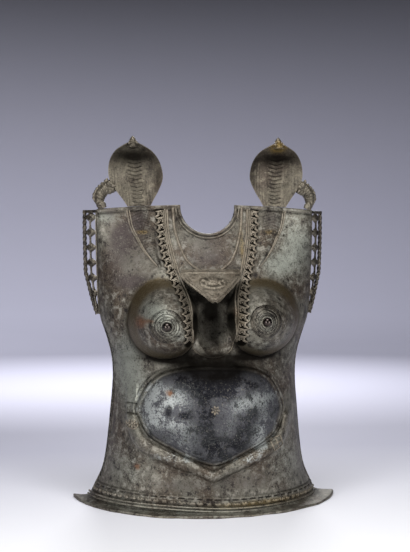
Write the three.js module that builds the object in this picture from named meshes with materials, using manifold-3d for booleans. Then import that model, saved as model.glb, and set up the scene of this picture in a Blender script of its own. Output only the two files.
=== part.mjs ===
import * as THREE from 'three';
import { mergeVertices } from 'three/addons/utils/BufferGeometryUtils.js';
import Module from 'manifold-3d';

const wasm = await Module();
wasm.setup();

// Driving dimensions in millimetres: the front faces -Y, up is +Z
const WALL = 4;
const SEAT_GAP = 0.3;
const WELD = 1e-4;
const FACET_TOLERANCE = 0.1;
const WRAP_ANGLE = THREE.MathUtils.degToRad(80);
const EDGE_FLAT = 6;
const HOLLOW_BACK = 60;
const HOLLOW_OVERRUN = 25;
const ACROSS = 26;
const ROWS = 13;

// Shoulder line: top of the shell at the neck, its fall toward the armholes and the neck notch
const NECK_TOP = 571;
const SHOULDER_HALF = 208;
const SHOULDER_DROP = 8;
const SHOULDER_START = 480;
const NOTCH = { radius: 52, z: 568, rim: 3, trim: 1, depth: 200, segments: 24 };
const TRIM_SIZE = 200;
const TOP_RIM = { height: 7, proud: 2.5 };

// Shell by height: half width at the side edges, y of those edges and y of the centre line
const TORSO_ROWS = [
  { z: 0, half: 227, edge: 36, front: -122 },
  { z: 12, half: 221, edge: 32, front: -122 },
  { z: 30, half: 213, edge: 27, front: -124 },
  { z: 64, half: 198, edge: 20, front: -126 },
  { z: 104, half: 190, edge: 14, front: -128 },
  { z: 181, half: 182, edge: 8, front: -129 },
  { z: 241, half: 177.5, edge: 5, front: -126 },
  { z: 281, half: 179.5, edge: 3, front: -120 },
  { z: 320, half: 189, edge: 0, front: -114 },
  { z: 360, half: 202, edge: -2, front: -107 },
  { z: 442, half: 206, edge: -6, front: -79 },
  { z: 517, half: 208, edge: -8, front: -47 },
  { z: 575, half: 208, edge: -8, front: -36 },
];

// Foot flange and the moulding above it
const FLANGE = { front: -146, thickness: 4, junction: 13, inset: 1.5 };
const FLANGE_LEFT = { half: 253, edge: 62 };
const FLANGE_RIGHT = { half: 264, edge: 40 };
const BASE_BAND = { low: 17, high: 34, proud: 3 };

// Breasts, belly dome and the hollow between the breasts: centres and half axes
const BREAST = { rise: 76, root: 18, around: 24, rings: 12 };
const BREAST_LEFT = { x: -89, z: 349, outer: 64, inner: 64, top: 84, bottom: 64 };
const BREAST_RIGHT = { x: 91, z: 356, outer: 82, inner: 64, top: 76, bottom: 67 };
const BREAST_ROUNDNESS = { below: 0.5, above: 0.95 };
const CLEFT = { depth: 150, z: 358, halfX: 37, halfDepth: 62, halfZ: 75 };
const BELLY = { z: 188, half: 138, rise: 26, root: 22, around: 28, rings: 8 };
const CLEFT_AROUND = 20;
const CLEFT_RINGS = 10;

// Belly dome outline from the top centre down one side to the point
const BELLY_OUTLINE = [
  { x: 0, z: 275 },
  { x: 74, z: 268 },
  { x: 113, z: 246 },
  { x: BELLY.half, z: 198 },
  { x: 130, z: 164 },
  { x: 109, z: 138 },
  { x: 44, z: 106 },
  { x: 0, z: 92 },
];

// Sash roll under the belly, outer end to the middle
const SASH_ROLL = [
  { x: 147, z: 172, radius: 9 },
  { x: 137, z: 141, radius: 11 },
  { x: 118, z: 122, radius: 12 },
  { x: 84, z: 108, radius: 12 },
  { x: 45, z: 93, radius: 11.5 },
  { x: 17, z: 81, radius: 10 },
  { x: 0, z: 73, radius: 9 },
];
const SASH_SEGMENTS = 18;
const SASH_SIDES = 6;
const SASH_LIFT = 2;

// Small bosses on the belly and the sash
const NAVEL_BOSS = { x: 0, z: 197, radius: 10, rise: 4, sides: 10 };
const SASH_ROSETTE = { x: -145, z: 166, radius: 10, rise: 11, sides: 10 };
const SASH_KNOT = { x: 123, z: 127, radius: 12, rise: 13, sides: 4 };

// Raised ribs on the chest, top to bottom
const COLLAR_RIB = [
  { x: 66, z: 560, radius: 2.2 },
  { x: 62, z: 520, radius: 2.2 },
  { x: 45, z: 470, radius: 2.2 },
  { x: 20, z: 446, radius: 2 },
];
const BODICE_RIB = [
  { x: 77, z: 560, radius: 2.4 },
  { x: 73.5, z: 512, radius: 2.4 },
  { x: 60, z: 450, radius: 2.4 },
  { x: 45.5, z: 408, radius: 2.6 },
  { x: 38, z: 380, radius: 3 },
  { x: 36, z: 330, radius: 3 },
  { x: 25, z: 300, radius: 3.2 },
  { x: 0, z: 289, radius: 3.4 },
];
const RIB_SIDES = 4;
const RIB_SEGMENTS = 11;
const RIB_LIFT = 0.5;

// Cobra body lying on the chest below each hood
const COBRA_BODY = [
  { z: 564, x: 128, half: 24 },
  { z: 530, x: 123, half: 22 },
  { z: 507, x: 117, half: 17 },
  { z: 486, x: 110, half: 13 },
  { z: 468, x: 101.5, half: 8 },
  { z: 452, x: 92, half: 3 },
];
const COBRA_RELIEF = { rise: 6, lip: 0.4, root: 3, across: 4, along: 7 };

// Cobra hood: half width, y of the middle and how far the rim stands forward of it
const HOODS = [
  { hand: 'left', side: -1, x: 130, lean: 13 },
  { hand: 'right', side: 1, x: 131, lean: 2 },
];
const HOOD_ROWS = [
  { z: 568, half: 22, y: -31, dish: 2 },
  { z: 580, half: 29, y: -30, dish: 5 },
  { z: 597, half: 40, y: -28, dish: 9 },
  { z: 618, half: 50, y: -27, dish: 13 },
  { z: 634, half: 51, y: -29, dish: 14 },
  { z: 654, half: 46, y: -36, dish: 12 },
  { z: 671, half: 34, y: -46, dish: 8 },
  { z: 681, half: 18, y: -54, dish: 4 },
  { z: 686, half: 7, y: -59, dish: 2 },
];
const HOOD_ACROSS = 8;
const HOOD_UP = 9;
const HEAD_AROUND = 10;
const HEAD_RINGS = 8;
const HOOD_HEAD = { y: -62, z: 682, halfX: 11, halfY: 15, halfZ: 8.5 };
const HOOD_FINIAL = [
  { r: 0, z: 686 },
  { r: 5, z: 687 },
  { r: 6.5, z: 691 },
  { r: 4.5, z: 695 },
  { r: 0, z: 699 },
];

// Bracket beast: body, foreleg and tail from root to tip
const BEAST_BODY = [
  { x: 199.5, y: -12, z: 562, radius: 6.5 },
  { x: 203.5, y: -13, z: 578, radius: 8.5 },
  { x: 201, y: -16, z: 592, radius: 11 },
  { x: 192, y: -21, z: 602, radius: 11 },
  { x: 184, y: -26, z: 606, radius: 9 },
];
const BEAST_FORELEG = [
  { x: 196, y: -20, z: 596, radius: 7 },
  { x: 184, y: -27, z: 591, radius: 6 },
  { x: 172, y: -36, z: 592, radius: 4.5 },
];
const BEAST_TAIL = [
  { x: 205, y: -13, z: 576, radius: 4.5 },
  { x: 213, y: -11, z: 582, radius: 3.5 },
  { x: 213, y: -10, z: 593, radius: 2 },
];
const BEAST_HEAD = { x: 184, y: -31, z: 610, halfX: 8.5, halfY: 10, halfZ: 8 };
const BEAST_SIDES = 6;
const BEAST_SEGMENTS = 4;
const BEAST_FOOT_Z = 564.4;

// Armhole lattice: strip turned back from the shell edge, with a row of diamonds between its gaps
const LATTICE = {
  low: 362,
  bend: 442,
  high: 560,
  width: 34,
  lowWidth: 7,
  turn: THREE.MathUtils.degToRad(41),
  thickness: 4,
  clear: 0.5,
};
const LATTICE_GAPS = { first: 548, pitch: 29, count: 6, outer: 0.88, bar: 0.05, longHalf: 12, shortHalf: 5 };

// Scroll band path on the chest, top to bottom, and its pierced cells
const SCROLL_PATH = [
  { x: 92, z: 560 },
  { x: 88, z: 512 },
  { x: 80, z: 467 },
  { x: 66, z: 427 },
  { x: 53, z: 388 },
  { x: 49, z: 345 },
  { x: 49, z: 318 },
];
const SCROLL = { cells: 18, half: 8.5, waist: 6.5, hole: 3.6, holeSides: 4, thickness: 3.5, clear: 2.2 };

// Pendant shield: half width by height, and the reach of its point
const PENDANT_ROWS = [
  { z: 392, half: 2 },
  { z: 399, half: 14 },
  { z: 409, half: 28 },
  { z: 421, half: 43 },
  { z: 432, half: 54 },
  { z: 439, half: 56 },
  { z: 446, half: 52 },
];
const PENDANT = { reach: 68, bow: 6, clear: 0.3, across: 6, up: 6 };

// Nipple boss: rings and knob as rises over the breast dome
const NIPPLE_ROWS = [
  { r: 29.5, rise: 2 },
  { r: 27, rise: 3.8 },
  { r: 23.5, rise: 1.8 },
  { r: 19, rise: 3.6 },
  { r: 12, rise: 1.6 },
  { r: 9, rise: 8 },
  { r: 5, rise: 12 },
  { r: 0, rise: 12.6 },
];
const NIPPLE_UNDERSIDE_STEPS = 3;
const NIPPLE_CLEAR = 0.6;

// Bronze by piece: base colour, roughness and metalness
const BRONZE = {
  plate: { color: 0x77736a, roughness: 0.55, metalness: 0.85 },
  ornament: { color: 0x7d7460, roughness: 0.5, metalness: 0.9 },
  dark: { color: 0x4f473c, roughness: 0.45, metalness: 0.9 },
};

// Smooth value of one column of a table, read by another column
function column(rows, name, at, by = 'z') {
  const last = rows.length - 1;
  const clamped = THREE.MathUtils.clamp(at, rows[0][by], rows[last][by]);
  let i = 0;
  while (i < last - 1 && clamped > rows[i + 1][by]) {
    i += 1;
  }
  const slope = (a, b) => (rows[b][name] - rows[a][name]) / (rows[b][by] - rows[a][by]);
  const startSlope = slope(Math.max(i - 1, 0), i + 1);
  const endSlope = slope(i, Math.min(i + 2, last));
  const span = rows[i + 1][by] - rows[i][by];
  const t = (clamped - rows[i][by]) / span;
  const start = rows[i][name];
  const end = rows[i + 1][name];
  const ease = t * t * (3 - 2 * t);
  const startPull = span * startSlope * t * (1 - t) * (1 - t);
  const endPull = span * endSlope * t * t * (1 - t);
  return start + (end - start) * ease + startPull - endPull;
}

// Move every vertex of a geometry by a function of its place
function bend(geometry, place) {
  const spots = geometry.attributes.position;
  const at = new THREE.Vector3();
  for (let i = 0; i < spots.count; i += 1) {
    const moved = place(at.fromBufferAttribute(spots, i));
    spots.setXYZ(i, moved.x, moved.y, moved.z);
  }
  return geometry;
}

// Closed solid from a three.js geometry, turned right side out
function solid(geometry) {
  geometry.deleteAttribute('normal');
  geometry.deleteAttribute('uv');
  const welded = mergeVertices(geometry, WELD);
  const vertProperties = new Float32Array(welded.attributes.position.array);
  const triVerts = new Uint32Array(welded.index.array);
  const made = new wasm.Manifold(new wasm.Mesh({ numProp: 3, vertProperties, triVerts }));
  if (made.volume() > 0) {
    return made;
  }
  const flipped = triVerts.slice();
  for (let i = 0; i < flipped.length; i += 3) {
    flipped[i] = triVerts[i + 1];
    flipped[i + 1] = triVerts[i];
  }
  return new wasm.Manifold(new wasm.Mesh({ numProp: 3, vertProperties, triVerts: flipped }));
}

// Geometry of a finished solid
function geometryOf(shape) {
  const made = shape.getMesh();
  const geometry = new THREE.BufferGeometry();
  geometry.setAttribute('position', new THREE.BufferAttribute(made.vertProperties, 3));
  geometry.setIndex(new THREE.BufferAttribute(made.triVerts, 1));
  return geometry;
}

// Block with cells across, deep and up, bent by place(across -1..1, deep 0..1, up 0..1)
function block(across, up, place) {
  const box = new THREE.BoxGeometry(2, 1, 1, across, 1, up);
  return solid(bend(box, (at) => place(at.x, at.y + 0.5, at.z + 0.5)));
}

// Ellipsoid with its poles along Y
function ellipsoid(x, y, z, halfX, halfY, halfZ, around, rings) {
  const ball = new THREE.SphereGeometry(1, around, rings);
  return solid(ball.scale(halfX, halfY, halfZ).translate(x, y, z));
}

// Tapering round bar through a table of places and radii
function bar(rows, sides, segments) {
  const spine = new THREE.CatmullRomCurve3(rows.map((row) => new THREE.Vector3(row.x, row.y, row.z)));
  const steps = rows.map((row, i) => ({ step: i / (rows.length - 1), radius: row.radius }));
  const front = new THREE.Vector3(0, -1, 0);
  const side = new THREE.Vector3();
  const lift = new THREE.Vector3();
  const rod = new THREE.CylinderGeometry(1, 1, 1, sides, segments);
  return solid(
    bend(rod, (at) => {
      const t = at.y + 0.5;
      const tangent = spine.getTangent(t);
      side.crossVectors(front, tangent).normalize();
      lift.crossVectors(tangent, side);
      const radius = column(steps, 'radius', t, 'step');
      const centre = spine.getPoint(t);
      return centre.addScaledVector(side, at.x * radius).addScaledVector(lift, at.z * radius);
    }),
  );
}

// Fall of the shoulder line toward the armholes
function shoulderFall(x, z) {
  const rising = THREE.MathUtils.smoothstep(z, SHOULDER_START, NECK_TOP);
  return SHOULDER_DROP * (x / SHOULDER_HALF) ** 2 * rising;
}

function shoulderTop(x) {
  return NECK_TOP - shoulderFall(x, NECK_TOP);
}

// Wrapped section: place across -1..1 of an arc with a half width, an edge y and a front y
function wrapped(across, half, edge, front, z) {
  const angle = across * WRAP_ANGLE;
  const bulge = (Math.cos(angle) - Math.cos(WRAP_ANGLE)) / (1 - Math.cos(WRAP_ANGLE));
  const x = (half * Math.sin(angle)) / Math.sin(WRAP_ANGLE);
  return new THREE.Vector3(x, edge + (front - edge) * bulge, z);
}

// Place on the shell, moved in from its face by an inset
function shellPlace(across, z, inset) {
  const half = column(TORSO_ROWS, 'half', z) - inset;
  const front = column(TORSO_ROWS, 'front', z) + inset;
  return wrapped(across, half, column(TORSO_ROWS, 'edge', z), front, z);
}

// Forward depth of the plain shell at x, z
function shellDepth(x, z) {
  const half = column(TORSO_ROWS, 'half', z);
  const sine = THREE.MathUtils.clamp((x / half) * Math.sin(WRAP_ANGLE), -1, 1);
  const across = Math.asin(sine) / WRAP_ANGLE;
  return -shellPlace(across, z, 0).y;
}

// Sizes of the breast on one side
function breastSizes(side) {
  return side < 0 ? BREAST_LEFT : BREAST_RIGHT;
}

// Half axes of a breast on the way to a place
function breastReach(sizes, aside, height) {
  const wide = aside * sizes.x > 0 ? sizes.outer : sizes.inner;
  const tall = height > 0 ? sizes.top : sizes.bottom;
  return { wide, tall };
}

// Rise of a breast over the shell: round below, sloping gently into the chest above
function breastRise(x, z) {
  const sizes = breastSizes(x);
  const aside = x - sizes.x;
  const height = z - sizes.z;
  const { wide, tall } = breastReach(sizes, aside, height);
  const away = (aside / wide) ** 2 + (height / tall) ** 2;
  const climb = THREE.MathUtils.smoothstep(height, 0, sizes.top);
  const roundness = THREE.MathUtils.lerp(BREAST_ROUNDNESS.below, BREAST_ROUNDNESS.above, climb);
  return BREAST.rise * Math.max(1 - away, 0) ** roundness;
}

// Forward depth of the chest with the breasts on it
function chestDepth(x, z) {
  return shellDepth(x, z) + breastRise(x, z);
}

// Table of one side, placed on the side asked for
function mirrored(rows, side) {
  return rows.map((row) => ({ ...row, x: side * row.x }));
}

// Half table written from the outer end to the middle, carried on to the other end
function bothSides(rows) {
  return [...rows, ...mirrored(rows.slice(0, -1).reverse(), -1)];
}

// Lay table rows on the chest, lifted off it
function onChest(rows, lift) {
  return rows.map((row) => ({ ...row, y: -chestDepth(row.x, row.z) - lift }));
}

// Filled torso between its front face and a back plane
function filledTorso(inset, low, high, back) {
  return block(ACROSS, ROWS, (across, deep, up) => {
    const level = THREE.MathUtils.lerp(low, high, up);
    const place = shellPlace(across, level, inset);
    place.z -= shoulderFall(place.x, level);
    if (deep > 0) {
      place.y = column(TORSO_ROWS, 'edge', level) + back;
    }
    return place;
  });
}

// Strip standing proud of the shell between two levels
function shellStrip(low, high, proud) {
  return block(ACROSS, 1, (across, deep, up) => {
    const level = THREE.MathUtils.lerp(low, high, up);
    const place = shellPlace(across, level, deep > 0 ? WALL / 2 : -proud);
    place.z -= shoulderFall(place.x, level);
    return place;
  });
}

// Foot flange: a flat sole and a top face that rises to the shell
function filledFlange() {
  const root = {
    half: column(TORSO_ROWS, 'half', FLANGE.junction) - FLANGE.inset,
    edge: column(TORSO_ROWS, 'edge', FLANGE.junction),
    front: column(TORSO_ROWS, 'front', FLANGE.junction) + FLANGE.inset,
  };
  const levels = [0, FLANGE.thickness, FLANGE.junction];
  const steps = levels.length - 1;
  return block(ACROSS, steps, (across, deep, up) => {
    const z = levels[Math.round(up * steps)];
    const rim = { front: FLANGE.front, ...(across < 0 ? FLANGE_LEFT : FLANGE_RIGHT) };
    const plan = z === FLANGE.junction ? root : rim;
    const place = wrapped(across, plan.half, plan.edge, plan.front, z);
    if (deep > 0) {
      place.y = THREE.MathUtils.mapLinear(across, -1, 1, FLANGE_LEFT.edge, FLANGE_RIGHT.edge) + EDGE_FLAT;
    }
    return place;
  });
}

// Belly dome laid on the shell, moved in from its face by an inset
function bellyDome(inset) {
  const half = BELLY_OUTLINE.map((row) => new THREE.Vector3(row.x, 0, row.z));
  const back = half.slice(1, -1).reverse().map((spot) => new THREE.Vector3(-spot.x, 0, spot.z));
  const outline = new THREE.CatmullRomCurve3([...half, ...back], true);
  const middle = new THREE.Vector3(0, 0, BELLY.z);
  const shrink = 1 - inset / BELLY.half;
  const ball = new THREE.SphereGeometry(1, BELLY.around, BELLY.rings);
  return solid(
    bend(ball, (at) => {
      const spread = Math.hypot(at.x, at.z) * shrink;
      const turn = Math.atan2(at.x, at.z) / (2 * Math.PI);
      const step = Math.round((turn < 0 ? turn + 1 : turn) * BELLY.around) % BELLY.around;
      const spot = outline.getPointAt(step / BELLY.around).sub(middle).multiplyScalar(spread).add(middle);
      const rise = at.y < 0 ? -at.y * BELLY.rise : -at.y * BELLY.root;
      spot.y = -shellDepth(spot.x, spot.z) - rise + inset;
      return spot;
    }),
  );
}

// Breast laid on the shell, moved in from its face by an inset
function breast(side, inset) {
  const { root, around, rings } = BREAST;
  const sizes = breastSizes(side);
  const { x, z } = sizes;
  const ball = new THREE.SphereGeometry(1, around, rings);
  return solid(
    bend(ball, (at) => {
      const { wide, tall } = breastReach(sizes, at.x, at.z);
      const across = x + at.x * (wide - inset);
      const up = at.z * (tall - inset);
      const outward = breastRise(x + at.x * wide, z + at.z * tall);
      const rise = at.y < 0 ? Math.max(outward - inset, 0) : -at.y * root;
      return new THREE.Vector3(across, -shellDepth(across, z + up) - rise, z + up);
    }),
  );
}

function cleft(inset) {
  const { depth, z, halfX, halfDepth, halfZ } = CLEFT;
  const sizes = [halfX + inset, halfDepth + inset, halfZ + inset];
  return ellipsoid(0, -depth, z, ...sizes, CLEFT_AROUND, CLEFT_RINGS);
}

// Low boss on the belly or the sash, set against the shell
function boss(place, ground) {
  const stud = new THREE.CylinderGeometry(place.radius, place.radius, place.rise * 2, place.sides);
  return solid(stud.translate(place.x, -ground, place.z));
}

function cobraBody(side) {
  return block(COBRA_RELIEF.across, COBRA_RELIEF.along, (across, deep, up) => {
    const top = COBRA_BODY[0].z;
    const tip = COBRA_BODY[COBRA_BODY.length - 1].z;
    const z = THREE.MathUtils.lerp(tip, top, up);
    const rows = COBRA_BODY.slice().reverse();
    const x = column(rows, 'x', z) + across * column(rows, 'half', z);
    const rise = deep > 0 ? -COBRA_RELIEF.root : COBRA_RELIEF.lip + COBRA_RELIEF.rise * (1 - across * across);
    return new THREE.Vector3(side * x, -chestDepth(side * x, z) - rise, z);
  });
}

function notchRim() {
  const ring = new THREE.TorusGeometry(NOTCH.radius + NOTCH.rim, NOTCH.rim, RIB_SIDES, NOTCH.segments);
  const flat = ring.rotateX(Math.PI / 2).translate(0, 0, NOTCH.z);
  const laid = solid(bend(flat, (at) => at.setY(at.y - shellDepth(at.x, at.z))));
  const above = new THREE.BoxGeometry(TRIM_SIZE, TRIM_SIZE, TRIM_SIZE);
  return laid.subtract(solid(above.translate(0, 0, NECK_TOP - NOTCH.trim + TRIM_SIZE / 2)));
}

function torsoPlate() {
  let outer = filledTorso(0, 0, NECK_TOP, EDGE_FLAT).add(filledFlange());
  outer = outer.add(shellStrip(BASE_BAND.low, BASE_BAND.high, BASE_BAND.proud));
  outer = outer.add(shellStrip(NECK_TOP - TOP_RIM.height, NECK_TOP, TOP_RIM.proud));
  outer = outer.add(breast(1, 0)).add(breast(-1, 0)).add(bellyDome(0));
  for (const side of [1, -1]) {
    const rib = onChest(mirrored(COLLAR_RIB, side), RIB_LIFT);
    outer = outer.add(cobraBody(side)).add(bar(rib, RIB_SIDES, RIB_SEGMENTS));
  }
  const roll = onChest(bothSides(SASH_ROLL), SASH_LIFT);
  outer = outer.add(bar(roll, SASH_SIDES, SASH_SEGMENTS));
  const bodice = onChest(bothSides(BODICE_RIB), RIB_LIFT);
  outer = outer.add(bar(bodice, RIB_SIDES, RIB_SEGMENTS * 2)).subtract(cleft(0));
  outer = outer.add(boss(NAVEL_BOSS, shellDepth(NAVEL_BOSS.x, NAVEL_BOSS.z) + BELLY.rise));
  outer = outer.add(boss(SASH_ROSETTE, shellDepth(SASH_ROSETTE.x, SASH_ROSETTE.z)));
  outer = outer.add(boss(SASH_KNOT, shellDepth(SASH_KNOT.x, SASH_KNOT.z)));
  const reach = EDGE_FLAT + HOLLOW_BACK;
  let hollow = filledTorso(WALL, -HOLLOW_OVERRUN, NECK_TOP + HOLLOW_OVERRUN, reach);
  hollow = hollow.add(breast(1, WALL)).add(breast(-1, WALL)).add(bellyDome(WALL)).subtract(cleft(WALL));
  const notch = new THREE.CylinderGeometry(NOTCH.radius, NOTCH.radius, NOTCH.depth, NOTCH.segments);
  const neck = solid(notch.translate(0, 0, NOTCH.z));
  return outer.subtract(hollow).add(notchRim()).subtract(neck).asOriginal().simplify(FACET_TOLERANCE);
}

function cobraHood(hood) {
  const rows = HOOD_ROWS;
  const low = rows[0].z;
  const high = rows[rows.length - 1].z;
  const step = 1;
  const dish = block(HOOD_ACROSS, HOOD_UP, (across, deep, up) => {
    const level = THREE.MathUtils.lerp(low, high, up);
    const tilt = column(rows, 'y', level + step) - column(rows, 'y', level - step);
    const run = Math.hypot(tilt, 2 * step);
    const out = (deep - 0.5) * WALL;
    const x = hood.x + hood.lean * up + across * column(rows, 'half', level);
    const y = column(rows, 'y', level) - column(rows, 'dish', level) * across * across;
    const z = up > 0 ? level : shoulderTop(x) + SEAT_GAP;
    return new THREE.Vector3(hood.side * x, y + (out * 2 * step) / run, up > 0 ? z - (out * tilt) / run : z);
  });
  const { y, z, halfX, halfY, halfZ } = HOOD_HEAD;
  const top = hood.side * (hood.x + hood.lean);
  const head = ellipsoid(top, y, z, halfX, halfY, halfZ, HEAD_AROUND, HEAD_RINGS);
  const profile = HOOD_FINIAL.map((row) => new THREE.Vector2(row.r, row.z));
  const bud = new THREE.LatheGeometry(profile, HEAD_RINGS).rotateX(Math.PI / 2);
  return dish.add(head).add(solid(bud.translate(top, y + halfY / 3, 0)));
}

function bracketBeast(side, hood) {
  const limb = (rows) => bar(mirrored(rows, side), BEAST_SIDES, BEAST_SEGMENTS);
  const { x, y, z, halfX, halfY, halfZ } = BEAST_HEAD;
  const head = ellipsoid(side * x, y, z, halfX, halfY, halfZ, BEAST_SIDES, BEAST_SIDES);
  const beast = limb(BEAST_BODY).add(limb(BEAST_FORELEG)).add(limb(BEAST_TAIL)).add(head);
  const below = new THREE.BoxGeometry(TRIM_SIZE, TRIM_SIZE, TRIM_SIZE);
  const floor = solid(below.translate(side * x, y, BEAST_FOOT_Z - TRIM_SIZE / 2));
  const clear = [-SEAT_GAP, 0, SEAT_GAP].map((aside) => hood.translate([side * SEAT_GAP, aside, 0]));
  return clear.reduce((left, blade) => left.subtract(blade), beast.subtract(floor));
}

function armholeLattice(side) {
  const { low, bend: knee, high, width, lowWidth, turn, thickness, clear } = LATTICE;
  const gaps = LATTICE_GAPS;
  const levels = [low, knee, high];
  for (let i = 0; i < gaps.count; i += 1) {
    levels.push(gaps.first - i * gaps.pitch);
  }
  levels.sort((a, b) => a - b);
  const outline = new THREE.Shape();
  outline.moveTo(0, low);
  levels.forEach((z) => outline.lineTo(1, z));
  levels.slice(1).reverse().forEach((z) => outline.lineTo(0, z));
  for (let i = 0; i < gaps.count; i += 1) {
    const z = gaps.first - gaps.pitch / 2 - i * gaps.pitch;
    for (const [near, far] of [
      [0.5 + gaps.bar, gaps.outer],
      [0.5 - gaps.bar, 1 - gaps.outer],
    ]) {
      const gap = new THREE.Path();
      gap.moveTo(near, z - gaps.shortHalf);
      gap.lineTo(far, z - gaps.longHalf);
      gap.lineTo(far, z + gaps.longHalf);
      gap.lineTo(near, z + gaps.shortHalf);
      outline.holes.push(gap);
    }
  }
  const strip = new THREE.ExtrudeGeometry(outline, { depth: 1, bevelEnabled: false });
  return solid(
    bend(strip, (at) => {
      const span = THREE.MathUtils.mapLinear(Math.min(at.y, knee), low, knee, lowWidth, width);
      const out = at.x * span + clear;
      const lift = (at.z - 0.5) * thickness;
      const edgeY = column(TORSO_ROWS, 'edge', at.y) + EDGE_FLAT;
      const x = column(TORSO_ROWS, 'half', at.y) + out * Math.cos(turn) + lift * Math.sin(turn);
      const y = edgeY + out * Math.sin(turn) - lift * Math.cos(turn);
      return new THREE.Vector3(side * x, y, at.y);
    }),
  );
}

// One flat cell of the scroll band, waisted at both ends, with its hole
function scrollCell(start, pitch) {
  const { half, waist, hole, holeSides, thickness } = SCROLL;
  const centre = start + pitch / 2;
  const outline = new THREE.Shape();
  outline.moveTo(start, -waist);
  outline.lineTo(centre, -half);
  outline.lineTo(start + pitch, -waist);
  outline.lineTo(start + pitch, waist);
  outline.lineTo(centre, half);
  outline.lineTo(start, waist);
  const rim = new THREE.CircleGeometry(hole, holeSides).translate(centre, 0, 0).attributes.position;
  const corners = [];
  for (let i = 1; i <= holeSides; i += 1) {
    corners.push(new THREE.Vector2(rim.getX(i), rim.getY(i)));
  }
  outline.holes.push(new THREE.Path(corners));
  return solid(new THREE.ExtrudeGeometry(outline, { depth: thickness, bevelEnabled: false }));
}

function scrollBand(side) {
  const path = new THREE.CatmullRomCurve3(SCROLL_PATH.map((row) => new THREE.Vector3(row.x, 0, row.z)));
  const { cells, clear } = SCROLL;
  const pitch = path.getLength() / cells;
  let ribbon = scrollCell(0, pitch);
  for (let i = 1; i < cells; i += 1) {
    ribbon = ribbon.add(scrollCell(i * pitch, pitch));
  }
  return solid(
    bend(geometryOf(ribbon), (at) => {
      const t = THREE.MathUtils.clamp(at.x / (cells * pitch), 0, 1);
      const spot = path.getPointAt(t);
      const along = path.getTangentAt(t);
      spot.x -= at.y * along.z;
      spot.z += at.y * along.x;
      spot.y = -chestDepth(side * spot.x, spot.z) - clear - at.z;
      return spot.setX(side * spot.x);
    }),
  );
}

function pendantShield() {
  const low = PENDANT_ROWS[0].z;
  const high = PENDANT_ROWS[PENDANT_ROWS.length - 1].z;
  return block(PENDANT.across, PENDANT.up, (across, deep, up) => {
    const z = THREE.MathUtils.lerp(low, high, up);
    const x = across * column(PENDANT_ROWS, 'half', z);
    const forward = PENDANT.reach * (1 - up) + PENDANT.bow * (1 - across * across);
    const back = shellDepth(x, high) + PENDANT.clear + forward;
    return new THREE.Vector3(x, -back - WALL * (1 - deep), z);
  });
}

function nippleBoss(side) {
  const outer = NIPPLE_ROWS[0].r;
  const under = [];
  for (let i = 0; i <= NIPPLE_UNDERSIDE_STEPS; i += 1) {
    under.push({ r: (outer * i) / NIPPLE_UNDERSIDE_STEPS, rise: NIPPLE_CLEAR });
  }
  const profile = [...under, ...NIPPLE_ROWS].map((row) => new THREE.Vector2(row.r, -row.rise));
  const { x, z } = breastSizes(side);
  const turned = new THREE.LatheGeometry(profile, BREAST.around).translate(x, 0, z);
  return solid(bend(turned, (at) => at.setY(at.y - chestDepth(at.x, at.z))));
}

// Named mesh of a finished solid
function mesh(name, shape, finish) {
  const geometry = geometryOf(shape);
  geometry.computeVertexNormals();
  const piece = new THREE.Mesh(geometry, new THREE.MeshStandardMaterial(finish));
  piece.name = name;
  return piece;
}

const breastplate = new THREE.Group();
breastplate.name = 'ceremonial_breastplate';
const plate = torsoPlate();
breastplate.add(mesh('torso_plate', plate, BRONZE.plate));
breastplate.add(mesh('pendant_shield', pendantShield(), BRONZE.ornament));
for (const place of HOODS) {
  const { hand, side } = place;
  const hood = cobraHood(place);
  breastplate.add(mesh(`cobra_hood_${hand}`, hood, BRONZE.ornament));
  breastplate.add(mesh(`bracket_beast_${hand}`, bracketBeast(side, hood), BRONZE.ornament));
  breastplate.add(mesh(`armhole_lattice_${hand}`, armholeLattice(side), BRONZE.ornament));
  breastplate.add(mesh(`scroll_band_${hand}`, scrollBand(side), BRONZE.ornament));
  breastplate.add(mesh(`nipple_boss_${hand}`, nippleBoss(side), BRONZE.dark));
}

// The origin is the middle of the foot of the bounding box
const bounds = new THREE.Box3().setFromObject(breastplate);
const middle = bounds.getCenter(new THREE.Vector3());
breastplate.position.set(-middle.x, -middle.y, -bounds.min.z);

export default breastplate;
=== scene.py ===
"""Ceremonial breastplate of cast bronze, standing on a pale studio floor."""

import logging
import math
from dataclasses import dataclass
from enum import Enum
from typing import Callable, Sequence

import bmesh
import bpy
import numpy as np
from mathutils import Matrix, Vector


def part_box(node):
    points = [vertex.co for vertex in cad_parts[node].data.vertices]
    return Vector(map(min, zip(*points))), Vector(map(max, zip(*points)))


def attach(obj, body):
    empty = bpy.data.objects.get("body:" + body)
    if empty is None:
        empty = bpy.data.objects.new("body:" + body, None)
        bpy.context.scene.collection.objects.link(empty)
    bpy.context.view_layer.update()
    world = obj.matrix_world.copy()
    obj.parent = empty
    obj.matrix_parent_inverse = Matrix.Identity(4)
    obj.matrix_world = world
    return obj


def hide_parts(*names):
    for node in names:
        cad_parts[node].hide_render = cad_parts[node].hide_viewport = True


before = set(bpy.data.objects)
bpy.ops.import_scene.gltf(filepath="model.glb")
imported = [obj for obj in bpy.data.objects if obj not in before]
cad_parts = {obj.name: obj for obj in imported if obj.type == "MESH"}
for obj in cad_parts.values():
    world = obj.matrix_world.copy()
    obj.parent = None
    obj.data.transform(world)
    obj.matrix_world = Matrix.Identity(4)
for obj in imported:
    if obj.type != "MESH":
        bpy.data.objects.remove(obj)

Array = np.ndarray
BMesh = bmesh.types.BMesh
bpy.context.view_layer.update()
LOG = logging.getLogger("breastplate")
MM = 0.001


class Hand(Enum):
    """Side of the plate as the viewer sees it."""

    LEFT = -1
    RIGHT = 1


class Slot(Enum):
    """Material slots of the record."""

    PLATE = "patinated_bronze"
    PALE = "pale_bronze"
    HOOD = "hood_bronze"
    DARK = "dark_bronze"


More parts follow.
